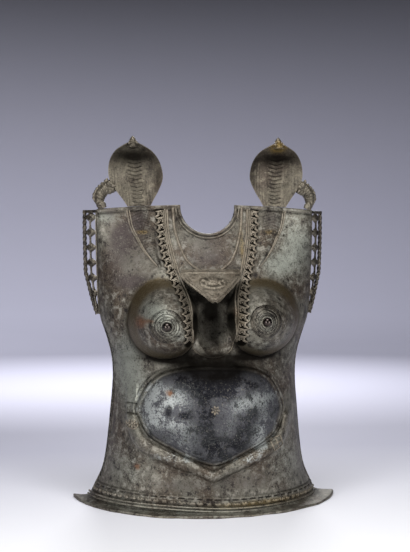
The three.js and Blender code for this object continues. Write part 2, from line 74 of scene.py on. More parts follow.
class Tone(Enum):
    """Stains of the patina, with the colour of each; some rows also paint light, sheen or shade."""

    VERDIGRIS_AND_PAINTED_LIGHT = "#8b8e84"
    UMBER_AND_SHADE = "#3b3331"
    OLIVE = "#463a22"
    SLATE = "#3f4045"
    CHALK_AND_SHEEN = "#999d9a"
    SOOT_AND_SHADE = "#15151a"
    GILT = "#7d6734"
    RUST = "#6b4a33"


# Stains that break up into flecks, soot with painted shade and chalk with painted sheen, with the levels that each
# starts and is full at
CRISP = {Tone.CHALK_AND_SHEEN: (0.15, 0.9), Tone.SOOT_AND_SHADE: (0.3, 0.75)}


# Plain sums used by every class


def linear(colour: str) -> tuple[float, float, float, float]:
    """Linear colour of an sRGB hex value.

    Args:
        colour: Six hex digits after a hash.

    Returns:
        Red, green, blue and an alpha of one.
    """
    parts = [int(colour[i:i + 2], 16) / 255 for i in (1, 3, 5)]
    return (*(p / 12.92 if p <= 0.04045 else ((p + 0.055) / 1.055) ** 2.4 for p in parts), 1.0)


def ease(low: float, high: float, at: Array) -> Array:
    """Smooth step from 0 at low to 1 at high."""
    t = np.clip((np.asarray(at, float) - low) / (high - low), 0.0, 1.0)
    return t * t * (3 - 2 * t)


def hump(offset: Array, width: float) -> Array:
    """Bell of height 1 over an offset."""
    return np.exp(-((np.asarray(offset) / width) ** 2))


def merge_high(a: Array, b: Array, radius: float) -> Array:
    """Higher of two heights, with a fillet where they meet."""
    near = np.maximum(radius - np.abs(a - b), 0.0) / radius
    return np.maximum(a, b) + near * near * radius * 0.25


def smooth_path(rows: Sequence[Sequence[float]], count: int, closed: bool = False, dims: int = 2) -> Array:
    """Evenly spaced points of a smooth line through a table's rows.

    Args:
        rows: Places on the line, with any further columns carried along.
        count: Points to return.
        closed: Whether the line runs back to its start.
        dims: Leading columns that are places.

    Returns:
        One row for each point, with the table's columns.
    """
    table = np.asarray(rows, float)
    if closed:
        padded = np.vstack([table[-1:], table, table[:2]])
    else:
        padded = np.vstack([2 * table[:1] - table[1:2], table, 2 * table[-1:] - table[-2:-1]])
    t = np.linspace(0, 1, 24, endpoint=False)[:, None]
    parts = []
    for a, b, c, d in zip(padded[:-3], padded[1:-2], padded[2:-1], padded[3:]):
        bend = (2 * a - 5 * b + 4 * c - d) * t**2 + (3 * b - a - 3 * c + d) * t**3
        parts.append(0.5 * (2 * b + (c - a) * t + bend))
    line = np.vstack([*parts, table[:1] if closed else table[-1:]])
    steps = np.linalg.norm(np.diff(line[:, :dims], axis=0), axis=1)
    along = np.concatenate([[0.0], np.cumsum(steps)])
    at = np.linspace(0.0, along[-1], count)
    return np.column_stack([np.interp(at, along, line[:, k]) for k in range(line.shape[1])])


def nearest(line: Array, x: Array, z: Array) -> tuple[Array, Array]:
    """How far each place lies from a line.

    Args:
        line: Points of the line, x and z first.
        x: Places across.
        z: Places up.

    Returns:
        The distances, and the line's point number nearest to each place.
    """
    best = np.full(np.shape(x), 1e9)
    step = np.zeros(np.shape(x))
    for i, (start, end) in enumerate(zip(line[:-1, :2], line[1:, :2])):
        run = end - start
        t = np.clip(((x - start[0]) * run[0] + (z - start[1]) * run[1]) / (run @ run), 0.0, 1.0)
        away = np.hypot(x - start[0] - t * run[0], z - start[1] - t * run[1])
        closer = away < best
        best = np.where(closer, away, best)
        step = np.where(closer, i + t, step)
    return best, step


@dataclass(frozen=True)
class Table:
    """Short table of sizes by height, read smoothly between its rows."""

    names: tuple[str, ...]
    rows: tuple[tuple[float, ...], ...]

    def read(self, name: str, at: Array) -> Array:
        """Smooth value of one column.

        Args:
            name: The column.
            at: Values of the first column.

        Returns:
            The column's values there.
        """
        table = np.array(self.rows)
        key, value = table[:, 0], table[:, self.names.index(name)]
        last = len(key) - 1
        spot = np.clip(np.asarray(at, float), key[0], key[-1])
        i = np.clip(np.searchsorted(key, spot) - 1, 0, last - 1)
        before, after = np.maximum(i - 1, 0), np.minimum(i + 2, last)
        start = (value[i + 1] - value[before]) / (key[i + 1] - key[before])
        end = (value[after] - value[i]) / (key[after] - key[i])
        span = key[i + 1] - key[i]
        t = (spot - key[i]) / span
        pull = span * t * (1 - t) * (start * (1 - t) - end * t)
        return value[i] + (value[i + 1] - value[i]) * t * t * (3 - 2 * t) + pull


# Mesh makers: each starts from a bmesh shape and moves it into place


def sheet(cols: int, rows: int, place: Callable[[Array, Array], Array]) -> BMesh:
    """Grid whose places are worked out from -1 to 1 across and up.

    Args:
        cols: Cells across.
        rows: Cells up.
        place: Gives the points, in millimetres, for arrays of the two.

    Returns:
        The shaped grid.
    """
    bm = bmesh.new()
    bmesh.ops.create_grid(bm, x_segments=cols, y_segments=rows, size=1.0)
    bm.verts.ensure_lookup_table()
    flat = np.array([v.co[:2] for v in bm.verts]).round(6)
    order = np.lexsort((flat[:, 0], flat[:, 1]))
    wide = len(np.unique(flat[:, 0]))
    u, v = (flat[order, k].reshape(-1, wide) for k in (0, 1))
    for index, spot in zip(order, place(u, v).reshape(-1, 3)):
        bm.verts[index].co = spot
    return bm


def tube(path: Array, radius: Array | float, sides: int = 8, front: Sequence[float] = (0, -1, 0),
         flat: float = 1.0, square: float = 1.0, rope: float = 0.0, lay: float = 9.0) -> BMesh:
    """Bar swept along a line, closed at its ends.

    Args:
        path: Points of its middle.
        radius: Its radius, or one for each point.
        sides: Faces round it.
        front: Direction that its height is measured along.
        flat: Height over width.
        square: Under 1, the section turns toward a square.
        rope: Depth of twisted strands.
        lay: Length of one twist.

    Returns:
        The bar.
    """
    count = len(path)
    tangent = np.gradient(path, axis=0)
    tangent /= np.linalg.norm(tangent, axis=1)[:, None]
    aside = np.cross(np.asarray(front, float), tangent)
    aside /= np.linalg.norm(aside, axis=1)[:, None]
    up = np.cross(tangent, aside)
    size = np.broadcast_to(np.asarray(radius, float), (count,))
    along = np.concatenate([[0.0], np.cumsum(np.linalg.norm(np.diff(path, axis=0), axis=1))])

    def place(u: Array, v: Array) -> Array:
        """Point for each step along and turn round."""
        i = np.rint((u + 1) / 2 * (count - 1)).astype(int)
        turn = (v + 1) * math.pi
        swell = size[i] + rope * np.cos(2 * turn + along[i] * 2 * math.pi / lay)
        cos, sin = np.cos(turn), np.sin(turn)
        wide = np.sign(cos) * np.abs(cos) ** square * swell
        high = np.sign(sin) * np.abs(sin) ** square * swell * flat
        return path[i] + aside[i] * wide[..., None] + up[i] * high[..., None]

    bm = sheet(count - 1, sides, place)
    bmesh.ops.remove_doubles(bm, verts=bm.verts, dist=1e-4)
    bmesh.ops.holes_fill(bm, edges=[e for e in bm.edges if e.is_boundary], sides=0)
    bmesh.ops.recalc_face_normals(bm, faces=bm.faces)
    return bm


def lathe(profile: Sequence[Sequence[float]], steps: int) -> BMesh:
    """Profile of radius and height, spun round +Z.

    Args:
        profile: Rows of radius and height.
        steps: Faces round it.

    Returns:
        The turned shape.
    """
    bm = bmesh.new()
    spots = [bm.verts.new((r, 0.0, h)) for r, h in profile]
    edges = [bm.edges.new(pair) for pair in zip(spots, spots[1:])]
    bmesh.ops.spin(bm, geom=spots + edges, cent=(0, 0, 0), axis=(0, 0, 1), angle=2 * math.pi,
                   steps=steps, use_merge=True, use_duplicate=False)
    bmesh.ops.remove_doubles(bm, verts=bm.verts, dist=1e-4)
    bmesh.ops.recalc_face_normals(bm, faces=bm.faces)
    return bm


def ball(centre: Sequence[float], half: Sequence[float], turn: Matrix = Matrix.Identity(3), sides: int = 14) -> BMesh:
    """Ellipsoid.

    Args:
        centre: Its middle.
        half: Its half axes.
        turn: How it is turned.
        sides: Faces round it.

    Returns:
        The ellipsoid.
    """
    bm = bmesh.new()
    bmesh.ops.create_uvsphere(bm, u_segments=sides, v_segments=max(6, sides * 2 // 3), radius=1.0)
    place = Matrix.Translation(Vector(centre)) @ turn.to_4x4() @ Matrix.Diagonal((*half, 1.0))
    bmesh.ops.transform(bm, matrix=place, verts=bm.verts)
    return bm


def move(bm: BMesh, place: Callable[[Array], Array]) -> BMesh:
    """Move every vertex by a function of all places.

    Args:
        bm: The mesh to bend.
        place: Gives the new places for an array of old ones.

    Returns:
        The same mesh.
    """
    spots = place(np.array([v.co[:] for v in bm.verts]))
    for vert, spot in zip(bm.verts, spots):
        vert.co = spot
    bm.normal_update()
    bmesh.ops.recalc_face_normals(bm, faces=bm.faces)
    return bm


def joined(parts: Sequence[BMesh]) -> BMesh:
    """One mesh of several, which are used up.

    Args:
        parts: The meshes.

    Returns:
        The mesh that holds them all.
    """
    whole = bmesh.new()
    for part in parts:
        held = bpy.data.meshes.new("held")
        part.to_mesh(held)
        part.free()
        whole.from_mesh(held)
        bpy.data.meshes.remove(held)
    return whole


def faced(bm: BMesh, toward: Sequence[float]) -> BMesh:
    """Open sheet with its faces turned to one side.

    Args:
        bm: The sheet.
        toward: Direction that most of its faces should look in.

    Returns:
        The same sheet.
    """
    bm.normal_update()
    look = Vector(toward)
    if sum(f.normal.dot(look) * f.calc_area() for f in bm.faces) < 0:
        bmesh.ops.reverse_faces(bm, faces=bm.faces)
    return bm


# The plate's form, in millimetres: the front faces -Y


@dataclass(frozen=True)
class Breast:
    """Crown of one breast and its half axes."""

    x: float
    z: float
    outer: float
    inner: float
    top: float
    bottom: float


@dataclass(frozen=True)
class Plate:
    """Driving sizes of the torso plate and the surface that they give."""

    wall: float = 4.0
    wrap: float = math.radians(80)
    edge_flat: float = 6.0
    neck_top: float = 571.0
    shoulder_half: float = 208.0
    shoulder_drop: float = 8.0
    shoulder_start: float = 480.0
    notch_radius: float = 52.0
    notch_z: float = 568.0
    left: Breast = Breast(-89.0, 349.0, 64.0, 64.0, 84.0, 64.0)
    right: Breast = Breast(91.0, 356.0, 82.0, 64.0, 76.0, 67.0)
    breast_rise: float = 76.0
    round_below: float = 0.58
    round_above: float = 1.15
    crease: float = 14.0
    cleft_depth: float = 150.0
    cleft_z: float = 358.0
    cleft_half: tuple[float, float, float] = (42.0, 62.0, 75.0)
    belly_z: float = 188.0
    belly_rise: float = 26.0
    sash_lift: float = 2.0
    levels: Table = Table(("z", "half", "edge", "front"), (
        (0, 227, 36, -122), (12, 221, 32, -122), (30, 213, 27, -124), (64, 198, 20, -126), (104, 190, 14, -128),
        (181, 182, 8, -129), (241, 177.5, 5, -126), (281, 179.5, 3, -120), (320, 189, 0, -114), (360, 202, -2, -107),
        (442, 206, -6, -79), (517, 208, -8, -47), (575, 208, -8, -36)))
    belly_outline: tuple[tuple[float, float], ...] = (
        (0, 275), (74, 268), (113, 246), (138, 198), (130, 164), (109, 138), (44, 106), (0, 92))
    sash: tuple[tuple[float, float, float], ...] = (
        (147, 172, 9), (137, 141, 11), (118, 122, 12), (84, 108, 12), (45, 93, 11.5), (17, 81, 10), (0, 73, 9))

    def fall(self, x: Array, z: Array) -> Array:
        """Fall of the shoulder line toward the armholes."""
        return self.shoulder_drop * (x / self.shoulder_half) ** 2 * ease(self.shoulder_start, self.neck_top, z)

    def wrapped(self, across: Array, z: Array, inset: float = 0.0) -> tuple[Array, Array]:
        """Plain shell at a place across.

        Args:
            across: From -1 to 1, and beyond for the flat at each side edge.
            z: Height.
            inset: How far in from the face.

        Returns:
            x and y.
        """
        half = self.levels.read("half", z) - inset
        edge = self.levels.read("edge", z)
        front = self.levels.read("front", z) + inset
        turn = np.clip(across, -1, 1) * self.wrap
        bulge = (np.cos(turn) - math.cos(self.wrap)) / (1 - math.cos(self.wrap))
        return half * np.sin(turn) / math.sin(self.wrap), edge + (front - edge) * bulge

    def shell(self, x: Array, z: Array) -> Array:
        """Forward depth of the plain shell."""
        half = self.levels.read("half", z)
        turn = np.arcsin(np.clip(x / half * math.sin(self.wrap), -1, 1))
        return -self.wrapped(turn / self.wrap, z)[1]

    def breast(self, hand: Hand) -> Breast:
        """The breast on one side."""
        return self.left if hand is Hand.LEFT else self.right

    def breast_place(self, x: Array, z: Array) -> tuple[Array, Array]:
        """Place on the nearer breast.

        Args:
            x: Places across.
            z: Places up.

        Returns:
            Shares of the half axes outward and up.
        """
        def pick(name: str) -> Array:
            """A size of the breast on the place's side."""
            return np.where(np.asarray(x) < 0, getattr(self.left, name), getattr(self.right, name))

        aside, height = (x - pick("x")) * np.where(np.asarray(x) < 0, -1, 1), z - pick("z")
        wide = np.where(aside > 0, pick("outer"), pick("inner"))
        return aside / wide, height / np.where(height > 0, pick("top"), pick("bottom"))

    def breasts(self, x: Array, z: Array) -> Array:
        """Rise of the breasts: round below, sloping gently into the chest above."""
        aside, height = self.breast_place(x, z)
        away = aside**2 + height**2
        power = self.round_below + (self.round_above - self.round_below) * ease(0, 1, height)
        inside = self.breast_rise * np.maximum(1 - away, 0) ** power
        outside = -(np.sqrt(away) - 1) * self.left.inner
        return merge_high(np.where(away < 1, inside, outside), 0.0, self.crease)

    def belly_reach(self, x: Array, z: Array) -> tuple[Array, Array]:
        """Place on the belly dome.

        Args:
            x: Places across.
            z: Places up.

        Returns:
            The share of the way to the dome's outline, and how far inside it in millimetres.
        """
        half = [(px, pz) for px, pz in self.belly_outline]
        back = [(-px, pz) for px, pz in half[-2:0:-1]]
        ring = smooth_path(half + back, 400, closed=True)[:-1]
        turn = np.arctan2(ring[:, 0], ring[:, 1] - self.belly_z)
        order = np.argsort(turn)
        radius = np.hypot(ring[:, 0], ring[:, 1] - self.belly_z)
        at = np.arctan2(x, z - self.belly_z)
        reach = np.interp(at, turn[order], radius[order], period=2 * math.pi)
        away = np.hypot(x, z - self.belly_z)
        return away / reach, reach - away

    def sash_line(self) -> Array:
        """Middle of the sash roll from side to side, with its radius."""
        return smooth_path([*self.sash, *[(-x, z, r) for x, z, r in self.sash[-2::-1]]], 90)

    def roll(self, x: Array, z: Array) -> Array:
        """Rise of the sash roll, falling away outside it."""
        line = self.sash_line()
        away, step = nearest(line, x, z)
        radius = np.interp(step, np.arange(len(line)), line[:, 2])
        crown = self.sash_lift + np.sqrt(np.maximum(radius**2 - away**2, 0))
        return np.where(away < radius, crown, radius - away)

    def bowl(self, x: Array, z: Array) -> Array:
        """Forward depth of the hollow between the breasts, past the plate outside it."""
        wide, deep, tall = self.cleft_half
        away = (x / wide) ** 2 + ((z - self.cleft_z) / tall) ** 2
        inside = self.cleft_depth - deep * np.sqrt(np.maximum(1 - away, 0))
        return np.where(away < 1, inside, self.cleft_depth + (np.sqrt(away) - 1) * wide * 3)

    def full(self, x: Array, z: Array) -> Array:
        """Forward depth of the plate with its breasts, belly and sash roll."""
        share, inside = self.belly_reach(x, z)
        dome = np.where(share < 1, self.belly_rise * np.sqrt(np.maximum(1 - share**2, 0)), inside)
        rise = merge_high(self.breasts(x, z), dome, 8.0)
        low = np.asarray(z) < self.belly_outline[0][1]
        rise = np.where(low, merge_high(rise, self.roll(x, z) if np.any(low) else rise, 13.0), rise)
        return self.shell(x, z) + rise

    def hollow(self, x: Array, z: Array) -> Array:
        """How far each place lies inside the hollow between the breasts, from 0 to 1, weighted for painted shade that
        is deepest at the top, under the pendant.
        """
        return ease(3.0, 20.0, self.full(x, z) - self.bowl(x, z)) * (0.78 + 0.22 * ease(345, 392, z))

    def depth(self, x: Array, z: Array) -> Array:
        """Forward depth of the plate with the hollow between the breasts."""
        return -merge_high(-self.full(x, z), -self.bowl(x, z), 6.0)

    def laid(self, line: Array, lift: float | Array) -> Array:
        """Line of x and z laid on the plate.

        Args:
            line: Rows that start with x and z.
            lift: How far it stands off the face.

        Returns:
            Points in space.
        """
        x, z = line[:, 0], line[:, 1]
        return np.column_stack([x, -self.depth(x, z) - lift, z - self.fall(x, z)])


# Finishes


def add_node(tree: bpy.types.NodeTree, kind: str, inputs: dict | None = None, **settings) -> bpy.types.Node:
    """Add a node with its settings and links.

    Args:
        tree: The material's tree.
        kind: The node's type.
        inputs: Sockets by name or number, with a value or an output to link.
        settings: The node's own properties.

    Returns:
        The node.
    """
    node = tree.nodes.new(kind)
    for name, value in settings.items():
        setattr(node, name, value)
    for key, value in (inputs or {}).items():
        if isinstance(value, bpy.types.NodeSocket):
            tree.links.new(value, node.inputs[key])
        else:
            node.inputs[key].default_value = value
    return node


@dataclass(frozen=True)
class CastBronze:
    """Cast bronze under an old patina: satin metal, clouded grey-green and brown, pitted, dark with dirt in its small
    recesses and with painted shade in its creases and hollows.
    """

    name: str
    brown: str
    green: str
    pale: str
    shade: str
    deep: str = "#0c0a08"
    worn: str = "#8a8172"
    cloud_mm: float = 70.0
    drift_mm: float = 26.0
    mottle_mm: float = 12.0
    fleck_mm: float = 22.0
    speck_mm: float = 3.0
    roughness: float = 0.46
    metallic: float = 0.65
    wear: float = 0.5
    contrast: float = 1.0
    relief_mm: float = 1.0

    def build(self) -> bpy.types.Material:
        """Make the material.

        Returns:
            The node material.
        """
        made = bpy.data.materials.new(self.name)
        made.use_nodes = True
        tree = made.node_tree
        tree.nodes.clear()
        place = add_node(tree, "ShaderNodeTexCoord").outputs["Object"]

        def noise(size_mm: float, detail: float, rough: float = 0.6,
                  stretch: tuple[float, float, float] = (1, 1, 1)) -> bpy.types.NodeSocket:
            """Cloudy grey of a given grain."""
            spot = add_node(tree, "ShaderNodeVectorMath", {0: place, 1: stretch}, operation="MULTIPLY").outputs[0]
            inputs = {"Vector": spot, "Scale": 1 / (size_mm * MM), "Detail": detail, "Roughness": rough}
            return add_node(tree, "ShaderNodeTexNoise", inputs).outputs["Fac"]

        def step(value: bpy.types.NodeSocket, low: float, high: float, top: float = 1.0) -> bpy.types.NodeSocket:
            """Grey between two levels, as a mask."""
            inputs = {"Value": value, "From Min": low, "From Max": high, "To Max": top}
            return add_node(tree, "ShaderNodeMapRange", inputs, interpolation_type="SMOOTHSTEP").outputs[0]

        def sums(kind: str, a, b) -> bpy.types.NodeSocket:
            """Two greys put together."""
            return add_node(tree, "ShaderNodeMath", {0: a, 1: b}, operation=kind).outputs[0]

        def mix(mask, below, above) -> bpy.types.NodeSocket:
            """One colour laid over another."""
            inputs = {0: mask, 6: below, 7: above}
            return add_node(tree, "ShaderNodeMix", inputs, data_type="RGBA").outputs[2]

        def painted(name: str) -> bpy.types.NodeSocket:
            """Mask that the mesh carries."""
            return add_node(tree, "ShaderNodeAttribute", attribute_name=name).outputs["Fac"]

        cloud = noise(self.cloud_mm, 4.0)
        mottle = noise(self.mottle_mm, 7.0, 0.68)
        speck = noise(self.speck_mm, 3.0, 0.7)
        drift = noise(self.drift_mm, 5.0, 0.6, (1.0, 1.0, 0.35))
        grain = sums("ADD", sums("MULTIPLY", mottle, 0.6), sums("MULTIPLY", speck, 0.4))
        swing = sums("MULTIPLY", sums("SUBTRACT", grain, 0.5), 1.6)
        flecks = sums("ADD", sums("MULTIPLY", noise(self.fleck_mm, 9.0, 0.8), 0.75), sums("MULTIPLY", speck, 0.25))
        fine = sums("MULTIPLY", sums("SUBTRACT", flecks, 0.5), 7.5)
        colour = mix(step(cloud, 0.36, 0.64), linear(self.brown), linear(self.green))
        colour = mix(step(drift, 0.5, 0.68, 0.6), colour, linear(self.shade))
        colour = mix(step(mottle, 0.5, 0.64, 0.95 * self.contrast), colour, linear(self.pale))
        colour = mix(step(mottle, 0.48, 0.34, self.contrast), colour, linear(self.shade))
        for tone in Tone:
            mask = painted(tone.name.lower())
            laid = sums("ADD", mask, sums("MULTIPLY", fine if tone in CRISP else swing, step(mask, 0.0, 0.3)))
            low, high = CRISP.get(tone, (0.05, 0.8))
            cover = step(laid, low, high, 0.9)
            colour = mix(cover, colour, linear(tone.value))
            if tone is Tone.SOOT_AND_SHADE:
                dark = sums("MAXIMUM", painted("recess"), cover)
        colour = mix(step(speck, 0.56, 0.7, 0.5), colour, linear(self.pale))
        colour = mix(step(speck, 0.45, 0.31, 0.62), colour, linear(self.deep))
        worn = sums("MULTIPLY", painted("worn"), step(grain, 0.3, 0.6, self.wear))
        colour = mix(worn, colour, linear(self.worn))
        # Near black where dirt lies in small hollows and where shade is painted into creases, hollows and under
        # overhangs
        colour = mix(painted("recess"), colour, linear(self.deep))

        pits = add_node(tree, "ShaderNodeTexVoronoi", {"Vector": place, "Scale": 1 / (3.4 * MM)}).outputs["Distance"]
        height = sums("ADD", sums("MULTIPLY", mottle, 1.0), sums("MULTIPLY", speck, 0.4))
        height = sums("ADD", height, sums("MULTIPLY", step(pits, 0.0, 0.22), 0.25))
        bump = add_node(tree, "ShaderNodeBump", {"Height": height, "Strength": 0.75, "Distance": self.relief_mm * MM})
        rough = sums("ADD", sums("MULTIPLY", grain, 0.34), self.roughness - 0.17)
        rough = sums("ADD", rough, sums("MULTIPLY", painted("recess"), 0.25))
        metal = sums("ADD", sums("MULTIPLY", dark, 1 - self.metallic), self.metallic)
        shader = add_node(tree, "ShaderNodeBsdfPrincipled", {
            "Base Color": colour, "Roughness": rough, "Metallic": metal, "Normal": bump.outputs[0]})
        add_node(tree, "ShaderNodeOutputMaterial", {"Surface": shader.outputs[0]})
        return made


@dataclass(frozen=True)
class Patina:
    """Masks that each mesh carries for its finish: stains by place, some also holding painted light or shade, recesses
    and worn edges by curvature, and painted shade in creases and under overhangs.
    """

    plate: Plate
    shift: Array
    stains: tuple[tuple[Tone, tuple[tuple[float, float, float, float, float], ...]], ...] = (
        (Tone.VERDIGRIS_AND_PAINTED_LIGHT, ((173, 494, 40, 62, 0.62), (128, 455, 34, 24, 0.5), (-190, 548, 26, 14, 0.5),
                          (160, 300, 24, 50, 0.3), (-155, 290, 30, 50, 0.5), (-108, 376, 26, 20, 0.6),
                          (-60, 330, 20, 24, 0.3), (84, 310, 40, 14, 0.3), (-89, 349, 24, 24, 0.3),
                          (91, 356, 24, 24, 0.32),
                          # These pale rows at the waist, the lower sides and the foot are partly painted light,
                          # lightening places that the lamps leave dark
                          (-146, 225, 28, 60, 0.55), (150, 90, 44, 46, 0.36), (-156, 80, 40, 46, 0.3),
                          (0, 12, 240, 12, 0.4))),
        (Tone.UMBER_AND_SHADE, ((-89, 349, 7, 7, 1.6), (91, 356, 7, 7, 1.6), (-160, 512, 20, 22, 1.0),
                      (-132, 541, 18, 22, 0.6), (121, 545, 18, 22, 0.5),
                      # The broad brown patches at x -172 and -120 on the left chest, by the armhole, are partly painted
                      # shade
                      (-172, 470, 30, 50, 0.5), (-120, 480, 40, 50, 0.3), (-140, 424, 34, 14, 0.9),
                      (-112, 300, 40, 12, 0.4),
                      (0, 500, 54, 44, 0.46), (0, 465, 46, 16, 0.35), (-185, 560, 16, 20, 0.5),
                      (60, 60, 70, 20, 0.4), (-70, 55, 50, 14, 0.35))),
        (Tone.CHALK_AND_SHEEN, ((-62, 222, 42, 22, 0.6), (-112, 198, 24, 42, 0.68), (-62, 158, 34, 26, 0.5),
                      (48, 208, 28, 18, 0.46), (96, 210, 32, 22, 0.6), (88, 166, 30, 26, 0.5),
                      (86, 132, 24, 14, 0.46),
                      # The first two rows here, along the crest of the sash roll, are a painted sheen as well as chalk
                      (-70, 108, 50, 9, 0.32), (50, 104, 50, 9, 0.3), (15, 150, 60, 36, 0.42))),
        # Near-black soot flecks; the rows across the top of the belly, at z 226 and 246 under the breasts, are also
        # painted shade
        (Tone.SOOT_AND_SHADE, ((-14, 165, 36, 42, 0.68), (57, 166, 22, 28, 0.72), (38, 134, 30, 20, 0.72),
                     (0, 226, 64, 22, 0.66), (-90, 150, 40, 16, 0.4),
                     (-83, 192, 6, 9, 1.2), (-57, 187, 11, 6, 1.2), (-5, 132, 14, 12, 0.7),
                     (75, 185, 12, 16, 0.5),
                     (0, 246, 66, 18, 1.1), (110, 190, 24, 30, 0.35), (0, 108, 40, 12, 0.4))),
        (Tone.GILT, ((90, 18, 110, 7, 0.55), (45, 360, 8, 22, 0.4), (64, 490, 6, 40, 0.4),
                     (-124, 519, 13, 5, 0.5), (118, 519, 15, 5, 0.45), (133, 680, 16, 11, 1.0))),
        (Tone.RUST, ((-136, 85, 6, 6, 0.8), (-80, 226, 7, 6, 0.7), (-133, 354, 8, 12, 0.75),
                     (-118, 358, 9, 4, 0.55), (42, 372, 5, 10, 0.5))))
    # Painted shade patches (x, z, half width, half height, strength): under the breasts, over the top of the belly, in
    # the hollow under the pendant, on the forward-curling hood tops and along the inner edges of the hoods
    painted_shadows: tuple[tuple[float, float, float, float, float], ...] = (
        (2, 268, 84, 16, 1.1), (2, 290, 74, 12, 0.8), (4, 254, 48, 14, 0.55), (-95, 285, 60, 8, 0.5),
        (98, 288, 64, 8, 0.5),
        (0, 400, 46, 28, 1.3), (-92, 305, 52, 12, 0.3), (98, 308, 58, 12, 0.3),
        (-141, 662, 58, 17, 0.97), (133, 660, 58, 16, 0.97), (-93, 618, 9, 34, 0.55), (83, 628, 10, 34, 0.55))

    def halo(self, x: Array, z: Array) -> Array:
        """Olive ring at the crease of each breast, strongest outside and above."""
        aside, height = self.plate.breast_place(x, z)
        ring = hump(np.hypot(aside, height) - 0.9, 0.13)
        return ring * (0.35 + 0.65 * ease(-0.9, 0.4, aside))

    def paint(self, mesh: bpy.types.Mesh, extra_dark: Array | None = None) -> None:
        """Write the masks.

        Args:
            mesh: The finished mesh, in metres.
            extra_dark: Further darkness of each vertex, such as cut lines and painted shade.
        """
        count = len(mesh.vertices)
        spots, normals = np.empty(count * 3), np.empty(count * 3)
        mesh.vertices.foreach_get("co", spots)
        mesh.vertex_normals.foreach_get("vector", normals)
        spots, normals = spots.reshape(-1, 3) / MM - self.shift, normals.reshape(-1, 3)
        pairs = np.empty(len(mesh.edges) * 2, dtype=np.int64)
        mesh.edges.foreach_get("vertices", pairs)
        start, end = pairs.reshape(-1, 2).T
        degree = np.maximum(np.bincount(pairs, minlength=count), 1)

        def spread(first: Array, second: Array) -> Array:
            """Mean over the edges at each vertex."""
            total = np.bincount(start, first, count) + np.bincount(end, second, count)
            return total / degree

        run = spots[end] - spots[start]
        length = np.maximum(np.linalg.norm(run, axis=1), 0.2)
        curve = spread((normals[start] * run).sum(1) / length**2, -(normals[end] * run).sum(1) / length**2)
        for _ in range(2):
            curve = 0.4 * curve + 0.6 * spread(curve[end], curve[start])
        x, y, z = spots.T
        compass = np.array([(math.cos(t), math.sin(t)) for t in np.arange(8) * math.pi / 4])
        around = [spot for reach in (9.0, 20.0) for spot in reach * compass]
        # Painted occlusion shade: places lower than the plate round them, at 9 and 20 mm, are darkened
        level = np.mean([self.plate.depth(x + dx, z + dz) for dx, dz in around], axis=0)
        proud = ease(2.0, 5.0, -y - self.plate.depth(x, z)) * (z < self.plate.neck_top)
        painted_occlusion = ease(0.5, 14.0, level - self.plate.depth(x, z)) * (y < 0) * (z < self.plate.neck_top) * (1 - proud)
        painted_occlusion = painted_occlusion * (1 - self.plate.hollow(x, z))
        # Patches of painted shade from the table, kept off raised pieces and off faces turned back
        painted_shadows = sum(deep * np.exp(-(((x - px) / wide) ** 2) - ((z - pz) / tall) ** 2)
                    for px, pz, wide, tall, deep in self.painted_shadows)
        painted_shadows = np.minimum(painted_shadows, 0.93) * (1 - proud) * (normals[:, 1] < 0.2)
        painted_occlusion = painted_occlusion * (1 - 0.8 * ease(0.1, 0.7, self.plate.breast_place(x, z)[1]) * (z > 300))
        # All painted shade: occlusion, the hollow between the breasts, darkest at its top under the pendant, and the
        # shade patches
        painted_shade = 0.62 * painted_occlusion + self.plate.hollow(x, z) * (1 - proud) * (y < -20) + painted_shadows
        face = normals[:, 1] < 0.2
        masks = {
            # Dirt and cut lines in small hollows, together with the painted shade worked out above
            "recess": np.clip(ease(0.02, 0.16, curve) * 0.8 + painted_shade + (0 if extra_dark is None else extra_dark), 0, 0.97),
            "worn": ease(0.03, 0.2, -curve),
            "olive": self.halo(x, z) * (y < 0) * face * (1 - 0.7 * proud),
            "slate": 0.95 * ease(1.0, 0.85, self.plate.belly_reach(x, z)[0]) * face,
        }
        for tone, rows in self.stains:
            mask = np.zeros(count)
            for px, pz, wide, tall, strength in rows:
                mask += strength * np.exp(-(((x - px) / wide) ** 2) - ((z - pz) / tall) ** 2)
            masks[tone.name.lower()] = np.clip(mask * face * (1 - 0.9 * proud * (tone is Tone.SOOT_AND_SHADE)), 0, 1)
        for name, mask in masks.items():
            mesh.attributes.new(name, "FLOAT", "POINT").data.foreach_set("value", mask.astype(np.float32))


@dataclass(frozen=True)
class Workshop:
    """Turns shaped meshes into pieces of the object."""

    shift: Array
    patina: Patina
    finishes: dict[Slot, bpy.types.Material]
    handled: bpy.types.Material

    def piece(self, bm: BMesh, name: str, slot: Slot, nodes: Sequence[str] = (), crease: float = 50.0,
              extra_dark: Callable[[Array], Array] | None = None, handled: bool = False) -> bpy.types.Object:
        """Finish one piece.

        Args:
            bm: Its mesh in millimetres, which is used up.
            name: Its name.
            slot: Its finish.
            nodes: CAD nodes that it stands for.
            crease: Angle in degrees past which an edge is sharp.
            extra_dark: Gives further darkness for the places of its vertices.
            handled: Whether hands have polished it.

        Returns:
            The piece.
        """
        dark = extra_dark(np.array([v.co[:] for v in bm.verts])) if extra_dark else None
        bmesh.ops.translate(bm, verts=bm.verts, vec=Vector(self.shift))
        bmesh.ops.scale(bm, verts=bm.verts, vec=(MM, MM, MM))
        mesh = bpy.data.meshes.new(name)
        bm.to_mesh(mesh)
        bm.free()
        mesh.shade_smooth()
        mesh.set_sharp_from_angle(angle=math.radians(crease))
        self.patina.paint(mesh, dark)
        mesh.materials.append(self.handled if handled else self.finishes[slot])
        made = bpy.data.objects.new(name, mesh)
        bpy.context.collection.objects.link(made)
        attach(made, "root")
        if nodes:
            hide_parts(*nodes)
        LOG.info("%s: %d faces", name, len(mesh.polygons))
        return made


# Sub-assemblies


